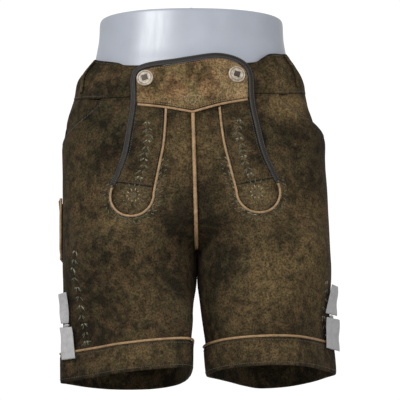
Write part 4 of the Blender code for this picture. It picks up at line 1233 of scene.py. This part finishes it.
def knife_piping():
    """Down the pocket's front edge, round its bottom and up the back edge."""
    margin = (PIPING_RADIUS + 0.6) / GIRTH_SPAN
    share = np.linspace(1.0, 0.0, 40)
    height = KNIFE_BOTTOM - 2.4 + (KNIFE_TOP - KNIFE_BOTTOM + 2.4) * share
    front_q, back_q = knife_outline(share)
    q = np.concatenate([front_q + margin, (back_q - margin)[::-1]])
    path, normals = surface(LEFT, q, np.concatenate([height, height[::-1]]), PIPING_LIFT + SEAM)
    return add_tube("knife_piping", path, normals, PIPING_RADIUS, PIPING_LEATHER, "tan_piping")


def belt_loop(name, side, q, low, high):
    """A strip tacked at both ends, its middle off the waistband."""
    share = np.linspace(0.0, 1.0, 40)[:, None]
    step = np.linspace(-1.0, 1.0, 9)[None, :]
    arch = BELT_LOOP_STAND * np.sqrt(np.clip(np.sin(math.pi * share), 0.0, 1.0))
    lift = ON_PANEL + BELT_LOOP_WALL + arch - 0.35 * step ** 4
    girth = q + BELT_LOOP_WIDTH / 2 / GIRTH_SPAN * step * np.ones_like(share)
    grid = surface(side, girth, low + (high - low) * share, lift)
    shade = 0.6 * edge_shade(girth.shape, 1.2)
    return cloth("belt_loop_" + name, grid, (0.3 * np.ones_like(girth), shade), BELT_LOOP_WALL, SUEDE,
                 "dark_suede", rests_on=["waistband_left", "waistband_right"])


knife_pocket()
knife_piping()
for loop in BELT_LOOPS:
    belt_loop(*loop)
print("belt loops:", len(BELT_LOOPS))

# %% [markdown]
# ## Ribbon ties
# A ribbon laces each side slit and ends in two flat loops and a knot. Each loop is a flattened
# ring of ribbon that flares at its outer fold, with small waves along its free edges.

# %% Ribbon loops and knots
# name, side, low, high, outer girth, girth low, girth high, lift, flare low, flare high
TIES = (
    ("left_upper", LEFT, 76, 115, 0.03, 0.06, 0.10, 1.2, 6.5, 2.5),
    ("left_lower", LEFT, 28, 70.4, 0.03, 0.105, 0.08, 3.2, 2.0, 6.0),
    ("right_upper", RIGHT, 76, 115, 0.01, 0.12, 0.08, 1.2, 4.0, 4.5),
    ("right_lower", RIGHT, 29, 70.4, 0.01, 0.15, 0.12, 3.2, 2.0, 6.0),
)
RIBBON_WALL, RIBBON_GAP = 1.2, 2.6
KNOT_GIRTH, KNOT_HEIGHT, KNOT_LIFT = 0.045, 73.1, 5.0
KNOT_RADIUS = 2.4


def ribbon_loop(name, side, low, high, q_outer, q_low, q_high, lift, flare_low, flare_high):
    """One flattened ring; its inner fold lies close, and its outer fold flares off the leg."""
    rows, columns = 30, 72
    share = np.linspace(0.0, 1.0, rows)[:, None]
    angle = np.linspace(0.0, 2 * math.pi, columns, endpoint=False)[None, :]
    across = (1 + np.cos(angle)) / 2
    wave = 0.5 * (1 - across) * np.sin(share * 9.0 + side)
    outer = lift + RIBBON_WALL * 2 + RIBBON_GAP * (1 + np.sin(angle)) / 2
    q = q_outer + (q_low + (q_high - q_low) * share - q_outer) * across
    flare = flare_low + (flare_high - flare_low) * share
    grid = surface(side, q, low + (high - low) * share, outer + flare * (1 - across) ** 2 + wave)
    border = np.exp(-np.minimum(share, 1.0 - share) * 14.0) * np.ones_like(angle)
    return cloth("tie_" + name, grid, (border, 0.0 * border), RIBBON_WALL * 0.6, RIBBON, "grey_ribbon",
                 closed=True, held="folded")


def tie_knot(side, name):
    """A small pulled knot: a squashed ball with soft ridges where the ribbon wraps."""
    ball = bmesh.new()
    bmesh.ops.create_uvsphere(ball, u_segments=32, v_segments=20, radius=KNOT_RADIUS * MM)
    for vertex in ball.verts:
        turn = math.atan2(vertex.co.y, vertex.co.z)
        vertex.co *= 1.0 + 0.05 * math.sin(5.0 * turn + vertex.co.x * 900.0)
    bmesh.ops.scale(ball, vec=(2.0, 1.0, 1.0), verts=ball.verts)
    centre, normal = surface(side, KNOT_GIRTH, KNOT_HEIGHT, KNOT_LIFT)
    ahead = surface(side, KNOT_GIRTH + 0.02, KNOT_HEIGHT, KNOT_LIFT)[0]
    x_axis = Vector(ahead - centre).normalized()
    z_axis = Vector(normal)
    y_axis = z_axis.cross(x_axis).normalized()
    turn = Matrix((x_axis, y_axis, x_axis.cross(y_axis))).transposed().to_4x4()
    ball.transform(Matrix.Translation(Vector(centre)) @ turn)
    mesh = bpy.data.meshes.new("tie_knot_" + name)
    ball.to_mesh(mesh)
    ball.free()
    mesh.shade_smooth()
    mesh.materials.append(RIBBON)
    return join_to_object(bpy.data.objects.new("tie_knot_" + name, mesh), "grey_ribbon", "tie_knot_" + name)


for tie in TIES:
    ribbon_loop(*tie)
for side, name in SIDES:
    tie_knot(side, name)
print("ribbon loops:", len(TIES))

# %% [markdown]
# ## Buttons
# Each button is turned on a lathe, so a profile spun round the axis gives its disc, its engraved
# ring and its rounded rim. A raised square frame stands in the middle round a dark inlay.

# %% Turned buttons
# name, x, height, turn in degrees
BUTTONS = (("left", -59.2, 376.2, 18.0), ("right", 56.8, 377.7, -16.0))
BUTTON_INSET, INSET_WALL, INSET_LEVEL, INSET_BEVEL = 7.4, 0.9, 3.0, 0.25
FRAME_REACH, FRAME_WALL, FRAME_LOW, FRAME_HIGH = 1.7, 1.5, 2.4, 3.7
BUTTON_SEGMENTS = 72
GROOVE_RADIUS = 8.5
BUTTON_PROFILE = (
    (0.05, 0.0), (10.2, 0.0), (10.8, 0.6), (11.0, 1.4), (10.8, 2.3), (10.3, 2.9), (9.8, 3.15), (9.3, 3.15),
    (8.9, 2.95), (8.65, 2.55), (8.35, 2.55), (8.1, 2.9), (7.7, 3.1), (6.6, 2.9), (0.05, 2.8),
)


def button_place(x, height, turn):
    """The button's own place: its axis along the cloth's normal, its square turned."""
    centre, normal = front(x, height, ON_WAISTBAND + CLOTH + SEAM)
    aim = Vector(normal).to_track_quat("Z", "Y").to_matrix().to_4x4()
    return Matrix.Translation(Vector(centre)) @ aim @ Matrix.Rotation(math.radians(turn), 4, "Z")


def square_ring(half, wall, low, high):
    """Corners of a square frame with a sloped outer side, as rings from outside to inside."""
    rings = ((half, low), (half - 0.35, high - 0.2), (half - 0.7, high),
             (half - wall + 0.3, high), (half - wall, high - 0.3), (half - wall, low))
    return [[(sx * size, sy * size, level) for sx, sy in ((1, 1), (-1, 1), (-1, -1), (1, -1))]
            for size, level in rings]


def button_inset(name, place):
    """The dark square in the middle of a button."""
    inlay = bmesh.new()
    bmesh.ops.create_cube(inlay, size=BUTTON_INSET)
    bmesh.ops.scale(inlay, vec=(1.0, 1.0, INSET_WALL / BUTTON_INSET), verts=inlay.verts)
    bmesh.ops.bevel(inlay, geom=inlay.edges[:], offset=INSET_BEVEL, segments=3, affect="EDGES")
    bmesh.ops.translate(inlay, vec=(0.0, 0.0, INSET_LEVEL), verts=inlay.verts)
    inlay.transform(place @ Matrix.Scale(MM, 4))
    mesh = bpy.data.meshes.new("button_inset_" + name)
    inlay.to_mesh(mesh)
    inlay.free()
    mesh.materials.append(BUTTON_CENTRE)
    square = bpy.data.objects.new("button_inset_" + name, mesh)
    return join_to_object(square, "button_centre", "button_inset_" + name)


def add_button(name, x, height, turn):
    """A turned disc with a raised square frame, and the square inside it."""
    place = button_place(x, height, turn)
    shape = bmesh.new()
    rings = []
    for radius, level in BUTTON_PROFILE:
        rings.append([shape.verts.new((radius * math.cos(a), radius * math.sin(a), level))
                      for a in np.linspace(0, 2 * math.pi, BUTTON_SEGMENTS, endpoint=False)])
    for outer, inner in zip(rings, rings[1:]):
        for i in range(BUTTON_SEGMENTS):
            after = (i + 1) % BUTTON_SEGMENTS
            shape.faces.new((outer[i], outer[after], inner[after], inner[i]))
    shape.faces.new(rings[0])
    shape.faces.new(rings[-1])
    square = square_ring(BUTTON_INSET / 2 + FRAME_REACH, FRAME_WALL, FRAME_LOW, FRAME_HIGH)
    frame_rings = [[shape.verts.new(spot) for spot in ring] for ring in square]
    for outer, inner in zip(frame_rings, frame_rings[1:] + frame_rings[:1]):
        for i in range(4):
            shape.faces.new((outer[i], outer[(i + 1) % 4], inner[(i + 1) % 4], inner[i]))
    bmesh.ops.recalc_face_normals(shape, faces=shape.faces)
    radii = np.array([math.hypot(v.co.x, v.co.y) for v in shape.verts])
    levels = np.array([v.co.z for v in shape.verts])
    groove = np.exp(-((radii - GROOVE_RADIUS) / 0.55) ** 2) * (levels < 3.0)
    shape.transform(place @ Matrix.Scale(MM, 4))
    mesh = bpy.data.meshes.new("button_" + name)
    shape.to_mesh(mesh)
    shape.free()
    mesh.shade_smooth()
    mesh.set_sharp_from_angle(angle=math.radians(40))
    mesh.materials.append(HORN)
    paint(mesh, "shade", groove)
    disc = join_to_object(bpy.data.objects.new("button_" + name, mesh), "button_horn", "button_" + name)
    button_inset(name, place)
    return disc


for button in BUTTONS:
    print(add_button(*button).name, "faces made")

# %% [markdown]
# ## The hip form and its wire loop
# The garment is filled by a smooth form without limbs that hangs from a wire loop. It is one
# lofted shape with a crisp flat top. Tall lights beside it give the long soft highlights.

# %% Hip form and loop
# Rings of the form: height, half width, front depth, back depth
FORM = (
    (184, 24, 12, 14), (188, 72, 36, 44), (197, 110, 58, 72), (212, 134, 76, 92), (236, 146, 88, 105),
    (280, 150, 95, 110), (330, 146, 95, 104), (370, 138, 93, 96), (400, 129.5, 89, 88),
    (422, 125.2, 85.4, 81.6), (446, 121, 84.5, 80.5), (466, 120, 84, 80), (471, 119, 83, 79),
    (472, 117.5, 81.5, 77.5),
)


def root_place(points):
    """From the form's millimetres to the frame; the form hangs straight and doesn't tilt."""
    return (points + np.array([-FORM_SHIFT, 0.0, -HANG_HEIGHT])) * MM


def make_gloss():
    """Glossy shell plastic with a faint cloudiness and fine handling marks."""
    material = bpy.data.materials.new("form_plastic")
    material.use_nodes = True
    tree = material.node_tree
    shader = tree.nodes["Principled BSDF"]
    shader.inputs["Specular IOR Level"].default_value = 0.5
    shader.inputs["Coat Weight"].default_value = 0.35
    shader.inputs["Coat Roughness"].default_value = 0.25
    place = tree.nodes.new("ShaderNodeTexCoord").outputs["Object"]
    cloud = noise(tree, place, 14.0, 3.0)
    marks = noise(tree, place, 160.0, 4.0, stretch=(1.0, 1.0, 0.15))
    colour = blend_colour(tree, remap(tree, cloud, 0.35, 0.65),
                          (0.255, 0.275, 0.315, 1.0), (0.295, 0.315, 0.36, 1.0))
    tree.links.new(colour, shader.inputs["Base Color"])
    tree.links.new(remap(tree, marks, 0.35, 0.7, 0.28, 0.40), shader.inputs["Roughness"])
    return material


def make_wire():
    """Bright drawn wire with fine lengthwise marks."""
    material = bpy.data.materials.new("loop_wire")
    material.use_nodes = True
    tree = material.node_tree
    shader = tree.nodes["Principled BSDF"]
    shader.inputs["Metallic"].default_value = 1.0
    place = tree.nodes.new("ShaderNodeTexCoord").outputs["Object"]
    marks = noise(tree, place, 900.0, 3.0)
    tree.links.new(blend_colour(tree, marks, (0.38, 0.38, 0.40, 1.0), (0.68, 0.68, 0.70, 1.0)),
                   shader.inputs["Base Color"])
    tree.links.new(remap(tree, marks, 0.3, 0.7, 0.2, 0.4), shader.inputs["Roughness"])
    return material


def display_form():
    """A loft through the form's rings, its two ends filled."""
    spots = np.arange(len(FORM))
    steps = np.linspace(0, len(FORM) - 1, 100)
    height, half, deep_front, deep_back = (
        curve_at(list(zip(spots, [row[column] for row in FORM])), steps)[:, None] for column in range(4)
    )
    angle = (np.arange(128) * 2.0 / 128 - 1.0)[None, :] * math.pi
    x, y = ring(angle, half, deep_front, deep_back)
    points = root_place(np.stack([x + FORM_SHIFT, y, height * np.ones_like(x)], axis=-1))
    middle = points.mean(axis=1, keepdims=True)
    mesh = mesh_from_grid("display_form", points, points - middle, closed=True)
    shape = bmesh.new()
    shape.from_mesh(mesh)
    bmesh.ops.holes_fill(shape, edges=[edge for edge in shape.edges if edge.is_boundary], sides=0)
    bmesh.ops.recalc_face_normals(shape, faces=shape.faces)
    shape.to_mesh(mesh)
    shape.free()
    mesh.shade_smooth()
    mesh.set_sharp_from_angle(angle=math.radians(50))
    mesh.materials.append(make_gloss())
    return join_to_object(bpy.data.objects.new("display_form", mesh), "form_plastic", "display_form")


def hang_loop():
    """A wire arch that stands in the form's top."""
    half = (LOOP_WIDTH - LOOP_WIRE) / 2
    bend = FORM_TOP + LOOP_HEIGHT - LOOP_WIRE / 2 - half
    turn = math.pi * (1 - np.linspace(0.0, 1.0, 40))
    arch = np.stack([FORM_SHIFT + half * np.cos(turn), 0 * turn, bend + half * np.sin(turn)], axis=-1)
    foot = FORM_TOP + SEAM
    path = np.concatenate([[[FORM_SHIFT - half, 0.0, foot]], arch, [[FORM_SHIFT + half, 0.0, foot]]])
    normals = np.tile([0.0, -1.0, 0.0], (len(path), 1))
    return add_tube("hang_loop", root_place(path), normals, LOOP_WIRE / 2, make_wire(), "loop_wire", sides=20)


print(display_form().name, "and", hang_loop().name, "made")

# %% [markdown]
# ## Stitches
# A stitch is a short bead of thread lying along a seam. Geometry Nodes place one bead at each
# point, turned by two stored directions: along the seam, and out of the cloth. One tree serves
# every seam and all the embroidery, because only the points, the thread and its width differ.

# %% The stitch tree
def build_stitch_tree():
    """A bead of thread at each point, turned, sized and made one mesh."""
    tree = bpy.data.node_groups.new("sewn_stitches", "GeometryNodeTree")
    tree.interface.new_socket("Seam points", in_out="INPUT", socket_type="NodeSocketGeometry")
    tree.interface.new_socket("Thread width", in_out="INPUT", socket_type="NodeSocketFloat")
    tree.interface.new_socket("Thread", in_out="INPUT", socket_type="NodeSocketMaterial")
    tree.interface.new_socket("Stitches", in_out="OUTPUT", socket_type="NodeSocketGeometry")
    nodes, links = tree.nodes, tree.links
    source = nodes.new("NodeGroupInput")
    result = nodes.new("NodeGroupOutput")

    def stored(name, kind):
        node = nodes.new("GeometryNodeInputNamedAttribute")
        node.data_type = kind
        node.inputs["Name"].default_value = name
        return node.outputs["Attribute"]

    turn = nodes.new("FunctionNodeAxesToRotation")
    turn.primary_axis = "X"
    turn.secondary_axis = "Z"
    links.new(stored("along", "FLOAT_VECTOR"), turn.inputs[0])
    links.new(stored("outward", "FLOAT_VECTOR"), turn.inputs[1])
    bead = nodes.new("GeometryNodeMeshUVSphere")
    bead.inputs["Segments"].default_value = 6
    bead.inputs["Rings"].default_value = 4
    bead.inputs["Radius"].default_value = 0.5
    uneven = nodes.new("FunctionNodeRandomValue")
    uneven.data_type = "FLOAT"
    uneven.inputs[2].default_value = 0.85
    uneven.inputs[3].default_value = 1.15
    uneven.inputs["Seed"].default_value = 7
    length = nodes.new("ShaderNodeMath")
    length.operation = "MULTIPLY"
    links.new(stored("reach", "FLOAT"), length.inputs[0])
    links.new(uneven.outputs[1], length.inputs[1])
    flatness = nodes.new("ShaderNodeMath")
    flatness.operation = "MULTIPLY"
    flatness.inputs[1].default_value = 0.6
    links.new(source.outputs["Thread width"], flatness.inputs[0])
    size = nodes.new("ShaderNodeCombineXYZ")
    links.new(length.outputs[0], size.inputs["X"])
    links.new(source.outputs["Thread width"], size.inputs["Y"])
    links.new(flatness.outputs[0], size.inputs["Z"])
    spread = nodes.new("GeometryNodeInstanceOnPoints")
    links.new(source.outputs["Seam points"], spread.inputs["Points"])
    links.new(bead.outputs["Mesh"], spread.inputs["Instance"])
    links.new(turn.outputs[0], spread.inputs["Rotation"])
    links.new(size.outputs[0], spread.inputs["Scale"])
    solid = nodes.new("GeometryNodeRealizeInstances")
    links.new(spread.outputs[0], solid.inputs[0])
    thread = nodes.new("GeometryNodeSetMaterial")
    links.new(solid.outputs[0], thread.inputs["Geometry"])
    links.new(source.outputs["Thread"], thread.inputs["Material"])
    links.new(thread.outputs[0], result.inputs[0])
    return tree


STITCH_TREE = build_stitch_tree()


def sew(name, stitches, width, thread, slot):
    """Turn lists of stitch starts, ends and outward directions into one mesh of beads."""
    starts, ends, normals = (np.concatenate(parts) for parts in zip(*stitches))
    along = ends - starts
    points = bpy.data.meshes.new(name + "_points")
    points.from_pydata(((starts + ends) / 2).tolist(), [], [])
    for label, values in (("along", along), ("outward", normals)):
        layer = points.attributes.new(label, "FLOAT_VECTOR", "POINT")
        layer.data.foreach_set("vector", values.astype(np.float32).ravel())
    paint(points, "reach", np.linalg.norm(along, axis=1))
    carrier = bpy.data.objects.new(name + "_points", points)
    bpy.context.scene.collection.objects.link(carrier)
    sewing = carrier.modifiers.new("sewing", "NODES")
    sewing.node_group = STITCH_TREE
    inputs = [item for item in STITCH_TREE.interface.items_tree if item.in_out == "INPUT"]
    sockets = {item.name: item.identifier for item in inputs}
    sewing[sockets["Thread width"]] = width * MM
    sewing[sockets["Thread"]] = thread
    bpy.context.view_layer.update()
    mesh = bpy.data.meshes.new_from_object(carrier.evaluated_get(bpy.context.evaluated_depsgraph_get()))
    bpy.data.objects.remove(carrier, do_unlink=True)
    mesh.shade_smooth()
    obj = join_to_object(bpy.data.objects.new(name, mesh), slot)
    print(name, "stitches:", len(starts), "triangles:", sum(len(face.vertices) - 2 for face in mesh.polygons))
    return obj


def seam_stitches(path, normals, pitch=3.0, share=0.66):
    """Running stitches along a path of points in the frame's metres."""
    lengths = np.concatenate([[0.0], np.cumsum(np.linalg.norm(np.diff(path, axis=0), axis=1))])
    count = max(int(lengths[-1] / (pitch * MM)), 1)
    begin = (np.arange(count) + 0.15) * lengths[-1] / count
    end = begin + share * lengths[-1] / count

    def at(targets, values):
        return np.stack([np.interp(targets, lengths, values[:, axis]) for axis in range(3)], axis=-1)

    return at(begin, path), at(end, path), at((begin + end) / 2, normals)


# %% [markdown]
# ## Seams that show
# Rows of stitches follow the binding, the yoke, the tongues, the waistband, the pocket mouths, the
# side seams and the cuffs. Tone-on-tone thread sits close to the cloth, so only its sheen shows.

# %% Sewing the seams
# How far rows of stitches lie from the edge that they follow, and above the cloth
YOKE_ROW_GAPS, YOKE_ROW_LIFT, TACK_LIFT = (3.6, 6.4), 0.3, 0.35
TACK_CORNERS = ((-11.0, 349.5), (11.0, 350.0), (0.0, 337.5), (-11.0, 349.5))
TONGUE_ROW_TOP, TONGUE_ROW_LOW, TONGUE_ROW_LIFT = 332.0, 246.0, 0.15
TONGUE_ROW_GAP, SLIT_ROW_GAP, TIP_SEAM_GAP, TIP_ROW_GAP = 4.2, 5.8, 2.4, 5.0
WAIST_ROW_LOW, WAIST_ROW_TOP, WAIST_ROW_LIFT = 3.0, 3.2, 0.45
MOUTH_ROW_GIRTHS, MOUTH_ROW_DROP, MOUTH_ROW_LIFT = (0.010, 0.022), 1.5, 0.1
SEAM_ROW_LOW, SEAM_ROW_TOP, SEAM_ROW_LIFT = 44.0, 305.0, 0.15
CUFF_ROW_HEIGHTS, CUFF_ROW_LIFT = (CUFF_HEIGHT - 3.5, 4.0), 0.1
BINDING_LANES, BINDING_PITCH, BINDING_SINK = (-0.55, 0.55), 2.6, 0.05


def flat_row(spots, lift):
    """A seam from x and height on the front."""
    return seam_stitches(*front(spots[:, 0], spots[:, 1], lift))


def binding_rows():
    """Two rows in the binding's channels."""
    path = binding_path()
    rows = []
    for lane in BINDING_LANES:
        spots = offset_path(path, lane * BINDING_WIDTH / 2)
        lift = binding_lift(spots[:, 1]) - BINDING_SINK
        rows.append(seam_stitches(*front(spots[:, 0], spots[:, 1], lift), pitch=BINDING_PITCH))
    return rows


def yoke_rows():
    """Two rows above the yoke's piping and one below its top."""
    rows = []
    lift = ON_WAISTBAND + CLOTH + YOKE_ROW_LIFT
    x = np.linspace(-70.0, 70.0, 120)
    for gap in YOKE_ROW_GAPS:
        rows.append(flat_row(np.stack([x, curve_at(YOKE_SEAM, x) + gap], axis=-1), lift))
    top = table_path(FLAP_TOP, 120)[12:-12]
    rows.append(flat_row(offset_path(top, YOKE_ROW_GAPS[1]), lift))
    return rows


def tack_rows():
    """A plain three-sided tack of stitches in the middle of the yoke, to hold its layers."""
    corners = np.array(TACK_CORNERS)
    lift = ON_WAISTBAND + CLOTH + TACK_LIFT
    return [flat_row(even_steps(corners[i:i + 2], 20), lift) for i in range(3)]


def tongue_rows(side):
    """Along both edges of a tongue, on both sides of its cross seam and round its tip."""
    rows = []
    lift = ON_PANEL + CLOTH + TONGUE_ROW_LIFT
    height = np.linspace(TONGUE_ROW_TOP, TONGUE_ROW_LOW, 80)
    for x in (tongue_x(height) + TONGUE_ROW_GAP, slit_x(height) - SLIT_ROW_GAP):
        rows.append(flat_row(np.stack([side * x, height], axis=-1), lift))
    share = np.linspace(0.06, 0.94, 30)
    cross_height = TIP_SEAM_INNER + (TIP_SEAM_OUTER - TIP_SEAM_INNER) * share
    inner, outer = tongue_x(cross_height), slit_x(cross_height)
    for gap in (-TIP_SEAM_GAP, TIP_SEAM_GAP):
        spots = np.stack([side * (inner + (outer - inner) * share), cross_height + gap], axis=-1)
        rows.append(flat_row(spots, lift))
    angle = np.radians(np.linspace(190.0, 350.0, 60))
    radius = TIP_RADIUS - TIP_ROW_GAP
    ring_spots = np.stack([
        side * (TIP_CENTRE[0] + radius * np.cos(angle)), TIP_CENTRE[1] + radius * np.sin(angle),
    ], axis=-1)
    rows.append(flat_row(ring_spots, lift))
    return rows


def body_rows(side):
    """Waistband edges, pocket mouth, side and back seams, and the cuff's two rows."""
    rows = []
    q = np.linspace(-0.995, 0.52, 260)
    top = curve_at(WAIST_TOP, q, side_column(side))
    for height in (waist_seam(q) + WAIST_ROW_LOW, top - WAIST_ROW_TOP):
        rows.append(seam_stitches(*surface(side, q, height, WAIST_ROW_LIFT)))
    shares = np.linspace(0.04, 0.97, 110)
    mouth_q = curve_at(POCKET_MOUTH, shares)
    height = panel_rise(mouth_q, shares) - MOUTH_ROW_DROP
    lift = POCKET_GAPE * np.sin(math.pi * shares) * 0.9 + MOUTH_ROW_LIFT
    for gap in MOUTH_ROW_GIRTHS:
        rows.append(seam_stitches(*surface(side, mouth_q + gap, height, lift)))
    seam_height = np.linspace(SEAM_ROW_LOW, SEAM_ROW_TOP, 200)
    for seam in (-0.012, -0.99):
        bottom = seam_height if seam < -0.5 or side == RIGHT else seam_height[:96]
        rows.append(seam_stitches(*surface(side, seam, bottom, SEAM_ROW_LIFT)))
    turn = np.linspace(-1.0, 1.0, 400)
    for height in CUFF_ROW_HEIGHTS:
        rows.append(seam_stitches(*surface(side, turn, height, ON_PANEL + CUFF_WALL + CUFF_ROW_LIFT)))
    return rows


sew("binding_stitches", binding_rows(), 0.75, DARK_THREAD, "grey_ribbon")
sew("yoke_stitches", yoke_rows(), 0.8, TAN_THREAD, "tan_piping")
sew("yoke_tack", tack_rows(), 1.4, PALE_THREAD, "grey_ribbon")
for side, name in SIDES:
    sew("tongue_stitches_" + name, tongue_rows(side), 0.7, DARK_THREAD, "grey_ribbon")
    sew("body_stitches_" + name, body_rows(side), 0.7, DARK_THREAD, "grey_ribbon")

# %% [markdown]
# ## Embroidery
# Leaf sprays and a sunburst are old motifs on this kind of garment. Each leaf is a pair of long
# straight stitches beside a stem. The sprays grow from a few given stem points, with small
# seeded differences in length and angle, as a hand or an old machine leaves them.

# %% Leaf sprays and sunbursts
CHANCE = np.random.default_rng(11)


def leaf_strokes(stem, spacing, length, angle_degrees, ranks=(-1, 1), pairs=2):
    """Starts and ends of the leaf stitches on both sides of a flat stem."""
    stem = np.asarray(stem, float)
    total = np.sum(np.linalg.norm(np.diff(stem, axis=0), axis=1))
    nodes = even_steps(stem, max(int(total / spacing), 2))
    along = np.gradient(nodes, axis=0)
    along /= np.linalg.norm(along, axis=1, keepdims=True)
    starts, ends = [], []
    for rank in ranks:
        for blade in range(pairs):
            tilt = np.radians(angle_degrees + 16.0 * blade + CHANCE.uniform(-15, 15, len(nodes))) * rank
            turned = np.stack([
                along[:, 0] * np.cos(tilt) - along[:, 1] * np.sin(tilt),
                along[:, 0] * np.sin(tilt) + along[:, 1] * np.cos(tilt),
            ], axis=-1)
            reach = length * CHANCE.uniform(0.55, 1.35, len(nodes))[:, None]
            root = nodes + turned * 0.9
            starts.append(root)
            ends.append(root + turned * reach)
    return np.concatenate(starts), np.concatenate(ends)


def sunburst(centre, rings):
    """Straight stitches round a centre: each ring has a count, and radii from and to."""
    starts, ends = [], []
    for count, near, far in rings:
        angle = np.linspace(0.0, 2 * math.pi, count, endpoint=False) + CHANCE.uniform(-0.06, 0.06, count)
        ray = np.stack([np.cos(angle), np.sin(angle)], axis=-1)
        starts.append(np.asarray(centre) + ray * near)
        ends.append(np.asarray(centre) + ray * far * CHANCE.uniform(0.9, 1.08, count)[:, None])
    return np.concatenate(starts), np.concatenate(ends)


def on_front(side, strokes, lift):
    """Strokes of x and height on the right, sewn on either side of the front."""
    flip = np.array([side, 1.0])
    (start, normal), (end, _) = (front(*(spots * flip).T, lift) for spots in strokes)
    return start, end, normal


def on_thigh(side, strokes, lift):
    """Strokes measured round the leg and up it."""
    (start, normal), (end, _) = (
        surface(side, spots[:, 0] / GIRTH_SPAN, spots[:, 1], lift) for spots in strokes
    )
    return start, end, normal


def laurel_path(gap):
    """A stem just outside a tongue's piping, round its tip."""
    path = tongue_path()
    path = path[path[:, 1] < 272.0]
    return offset_path(path, gap)


TONGUE_STEM = ((58, 318), (56, 300), (61, 283), (63, 266), (69, 248))
THIGH_STEMS = {
    LEFT: ((60, 160), (48, 138), (44, 112), (34, 84), (38, 50)),
    RIGHT: ((30, 118), (22, 100), (27, 78), (21, 50)),
}
ON_TONGUE = ON_PANEL + CLOTH + 0.1


def embroider(side, name):
    """All the sprays and the sunburst of one side, sewn in two threads."""
    bright, olive = [], []
    bright.append(on_front(side, leaf_strokes(laurel_path(3.4), 9.0, 6.6, 34.0, ranks=(1,), pairs=1), 0.15))
    olive.append(on_front(side, leaf_strokes(laurel_path(4.6), 5.4, 8.0, 30.0, ranks=(1,), pairs=2), 0.15))
    olive.append(on_front(side, leaf_strokes(laurel_path(11.5), 6.4, 5.4, 56.0, ranks=(1,), pairs=1), 0.15))
    olive.append(on_front(side, leaf_strokes(TONGUE_STEM, 7.0, 7.0, 40.0), ON_TONGUE))
    bright.append(on_front(side, leaf_strokes(TONGUE_STEM, 15.0, 3.4, 60.0, pairs=1), ON_TONGUE + 0.15))
    centre = (TIP_CENTRE[0] - 2.0, TIP_CENTRE[1] - 1.0)
    bright.append(on_front(side, sunburst(centre, ((10, 6.0, 9.6),)), ON_TONGUE))
    olive.append(on_front(side, sunburst(centre, ((8, 1.5, 4.5), (15, 11.5, 17.0))), ON_TONGUE))
    olive.append(on_thigh(side, leaf_strokes(THIGH_STEMS[side], 10.0, 7.4, 36.0), 0.15))
    bright.append(on_thigh(side, leaf_strokes(THIGH_STEMS[side], 17.0, 5.6, 50.0, pairs=1), 0.25))
    sew("leaf_stitches_" + name, olive, 1.5, OLIVE_THREAD, "grey_ribbon")
    sew("bright_leaf_stitches_" + name, bright, 1.6, PALE_THREAD, "grey_ribbon")


OLIVE_THREAD = sewing_thread("olive_thread", (0.032, 0.035, 0.018), (0.082, 0.084, 0.046))
for side, name in SIDES:
    embroider(side, name)

# %% [markdown]
# ## What the cloth was cut from
# Each sheet of cloth is declared with the flat size it was cut to. The binding and the belt
# loops are narrow strips sewn to a wider piece, so they are no sheets of their own and are left out.

NARROWEST_SHEET = 0.0105


def declare_cloth():
    """Declare each sheet by its flat width and length, leaving out narrow strips."""
    for name, (obj, width, length, area, held, rests_on) in CUTS.items():
        narrow = width < NARROWEST_SHEET or length < NARROWEST_SHEET
        if narrow or name.startswith(("belt_loop", "flap_binding")):
            continue
        print(name, "cut", round(width * 1000), "by", round(length * 1000), "mm")


declare_cloth()

# %% [markdown]
# ## Studio
# A white surround lights the cloth evenly and gives the plain background. A large soft light from
# the upper left shapes the folds, and tall strips give the form its upright highlights.

# %% Light and floor
def soft_light(name, place, size, power, aim=CAMERA_TARGET):
    """A rectangle of light that faces its aim and doesn't show in the picture."""
    data = bpy.data.lights.new(name, "AREA")
    data.shape = "RECTANGLE"
    data.size, data.size_y = size
    data.energy = power
    light = bpy.data.objects.new(name, data)
    bpy.context.scene.collection.objects.link(light)
    light.location = place
    light.rotation_euler = (aim - Vector(place)).to_track_quat("-Z", "Y").to_euler()
    light.visible_camera = False
    return light


LIT_STRENGTH, SEEN_STRENGTH = 0.62, 1.05


def white_surround():
    """White to the camera, and gentler as a light."""
    world = bpy.data.worlds.new("white_studio")
    world.use_nodes = True
    bpy.context.scene.world = world
    tree = world.node_tree
    background = tree.nodes["Background"]
    background.inputs["Color"].default_value = (1.0, 1.0, 1.0, 1.0)
    path = tree.nodes.new("ShaderNodeLightPath")
    strength = remap(tree, path.outputs["Is Camera Ray"], 0.0, 1.0, LIT_STRENGTH, SEEN_STRENGTH)
    tree.links.new(strength, background.inputs["Strength"])


def pale_floor():
    """A wide plain floor, well below the hanging garment."""
    mesh = bpy.data.meshes.new("floor")
    half, level = 4.0, -1.9
    corners = [(-half, -half, level), (half, -half, level), (half, half, level), (-half, half, level)]
    mesh.from_pydata(corners, [], [(0, 1, 2, 3)])
    floor = bpy.data.objects.new("floor", mesh)
    bpy.context.scene.collection.objects.link(floor)
    paint_white = bpy.data.materials.new("floor_white")
    paint_white.use_nodes = True
    shader = paint_white.node_tree.nodes["Principled BSDF"]
    shader.inputs["Base Color"].default_value = (0.86, 0.86, 0.86, 1.0)
    shader.inputs["Roughness"].default_value = 0.8
    mesh.materials.append(paint_white)


# name, x, power of the tall strips of light
STRIPS = (("strip_left", -0.83, 3.0), ("strip_middle", 0.16, 2.0), ("strip_right", 0.96, 3.0))

white_surround()
pale_floor()
soft_light("key", (-1.3, -2.4, 0.9), (1.4, 1.4), 62.0)
soft_light("fill", (1.8, -2.0, -0.4), (1.2, 1.6), 14.0)
for strip, x, power in STRIPS:
    soft_light(strip, (x, -2.5, 0.45), (0.12, 1.2), power, Vector((0.0, 0.0, -0.05)))
bpy.context.scene.view_settings.view_transform = "Standard"
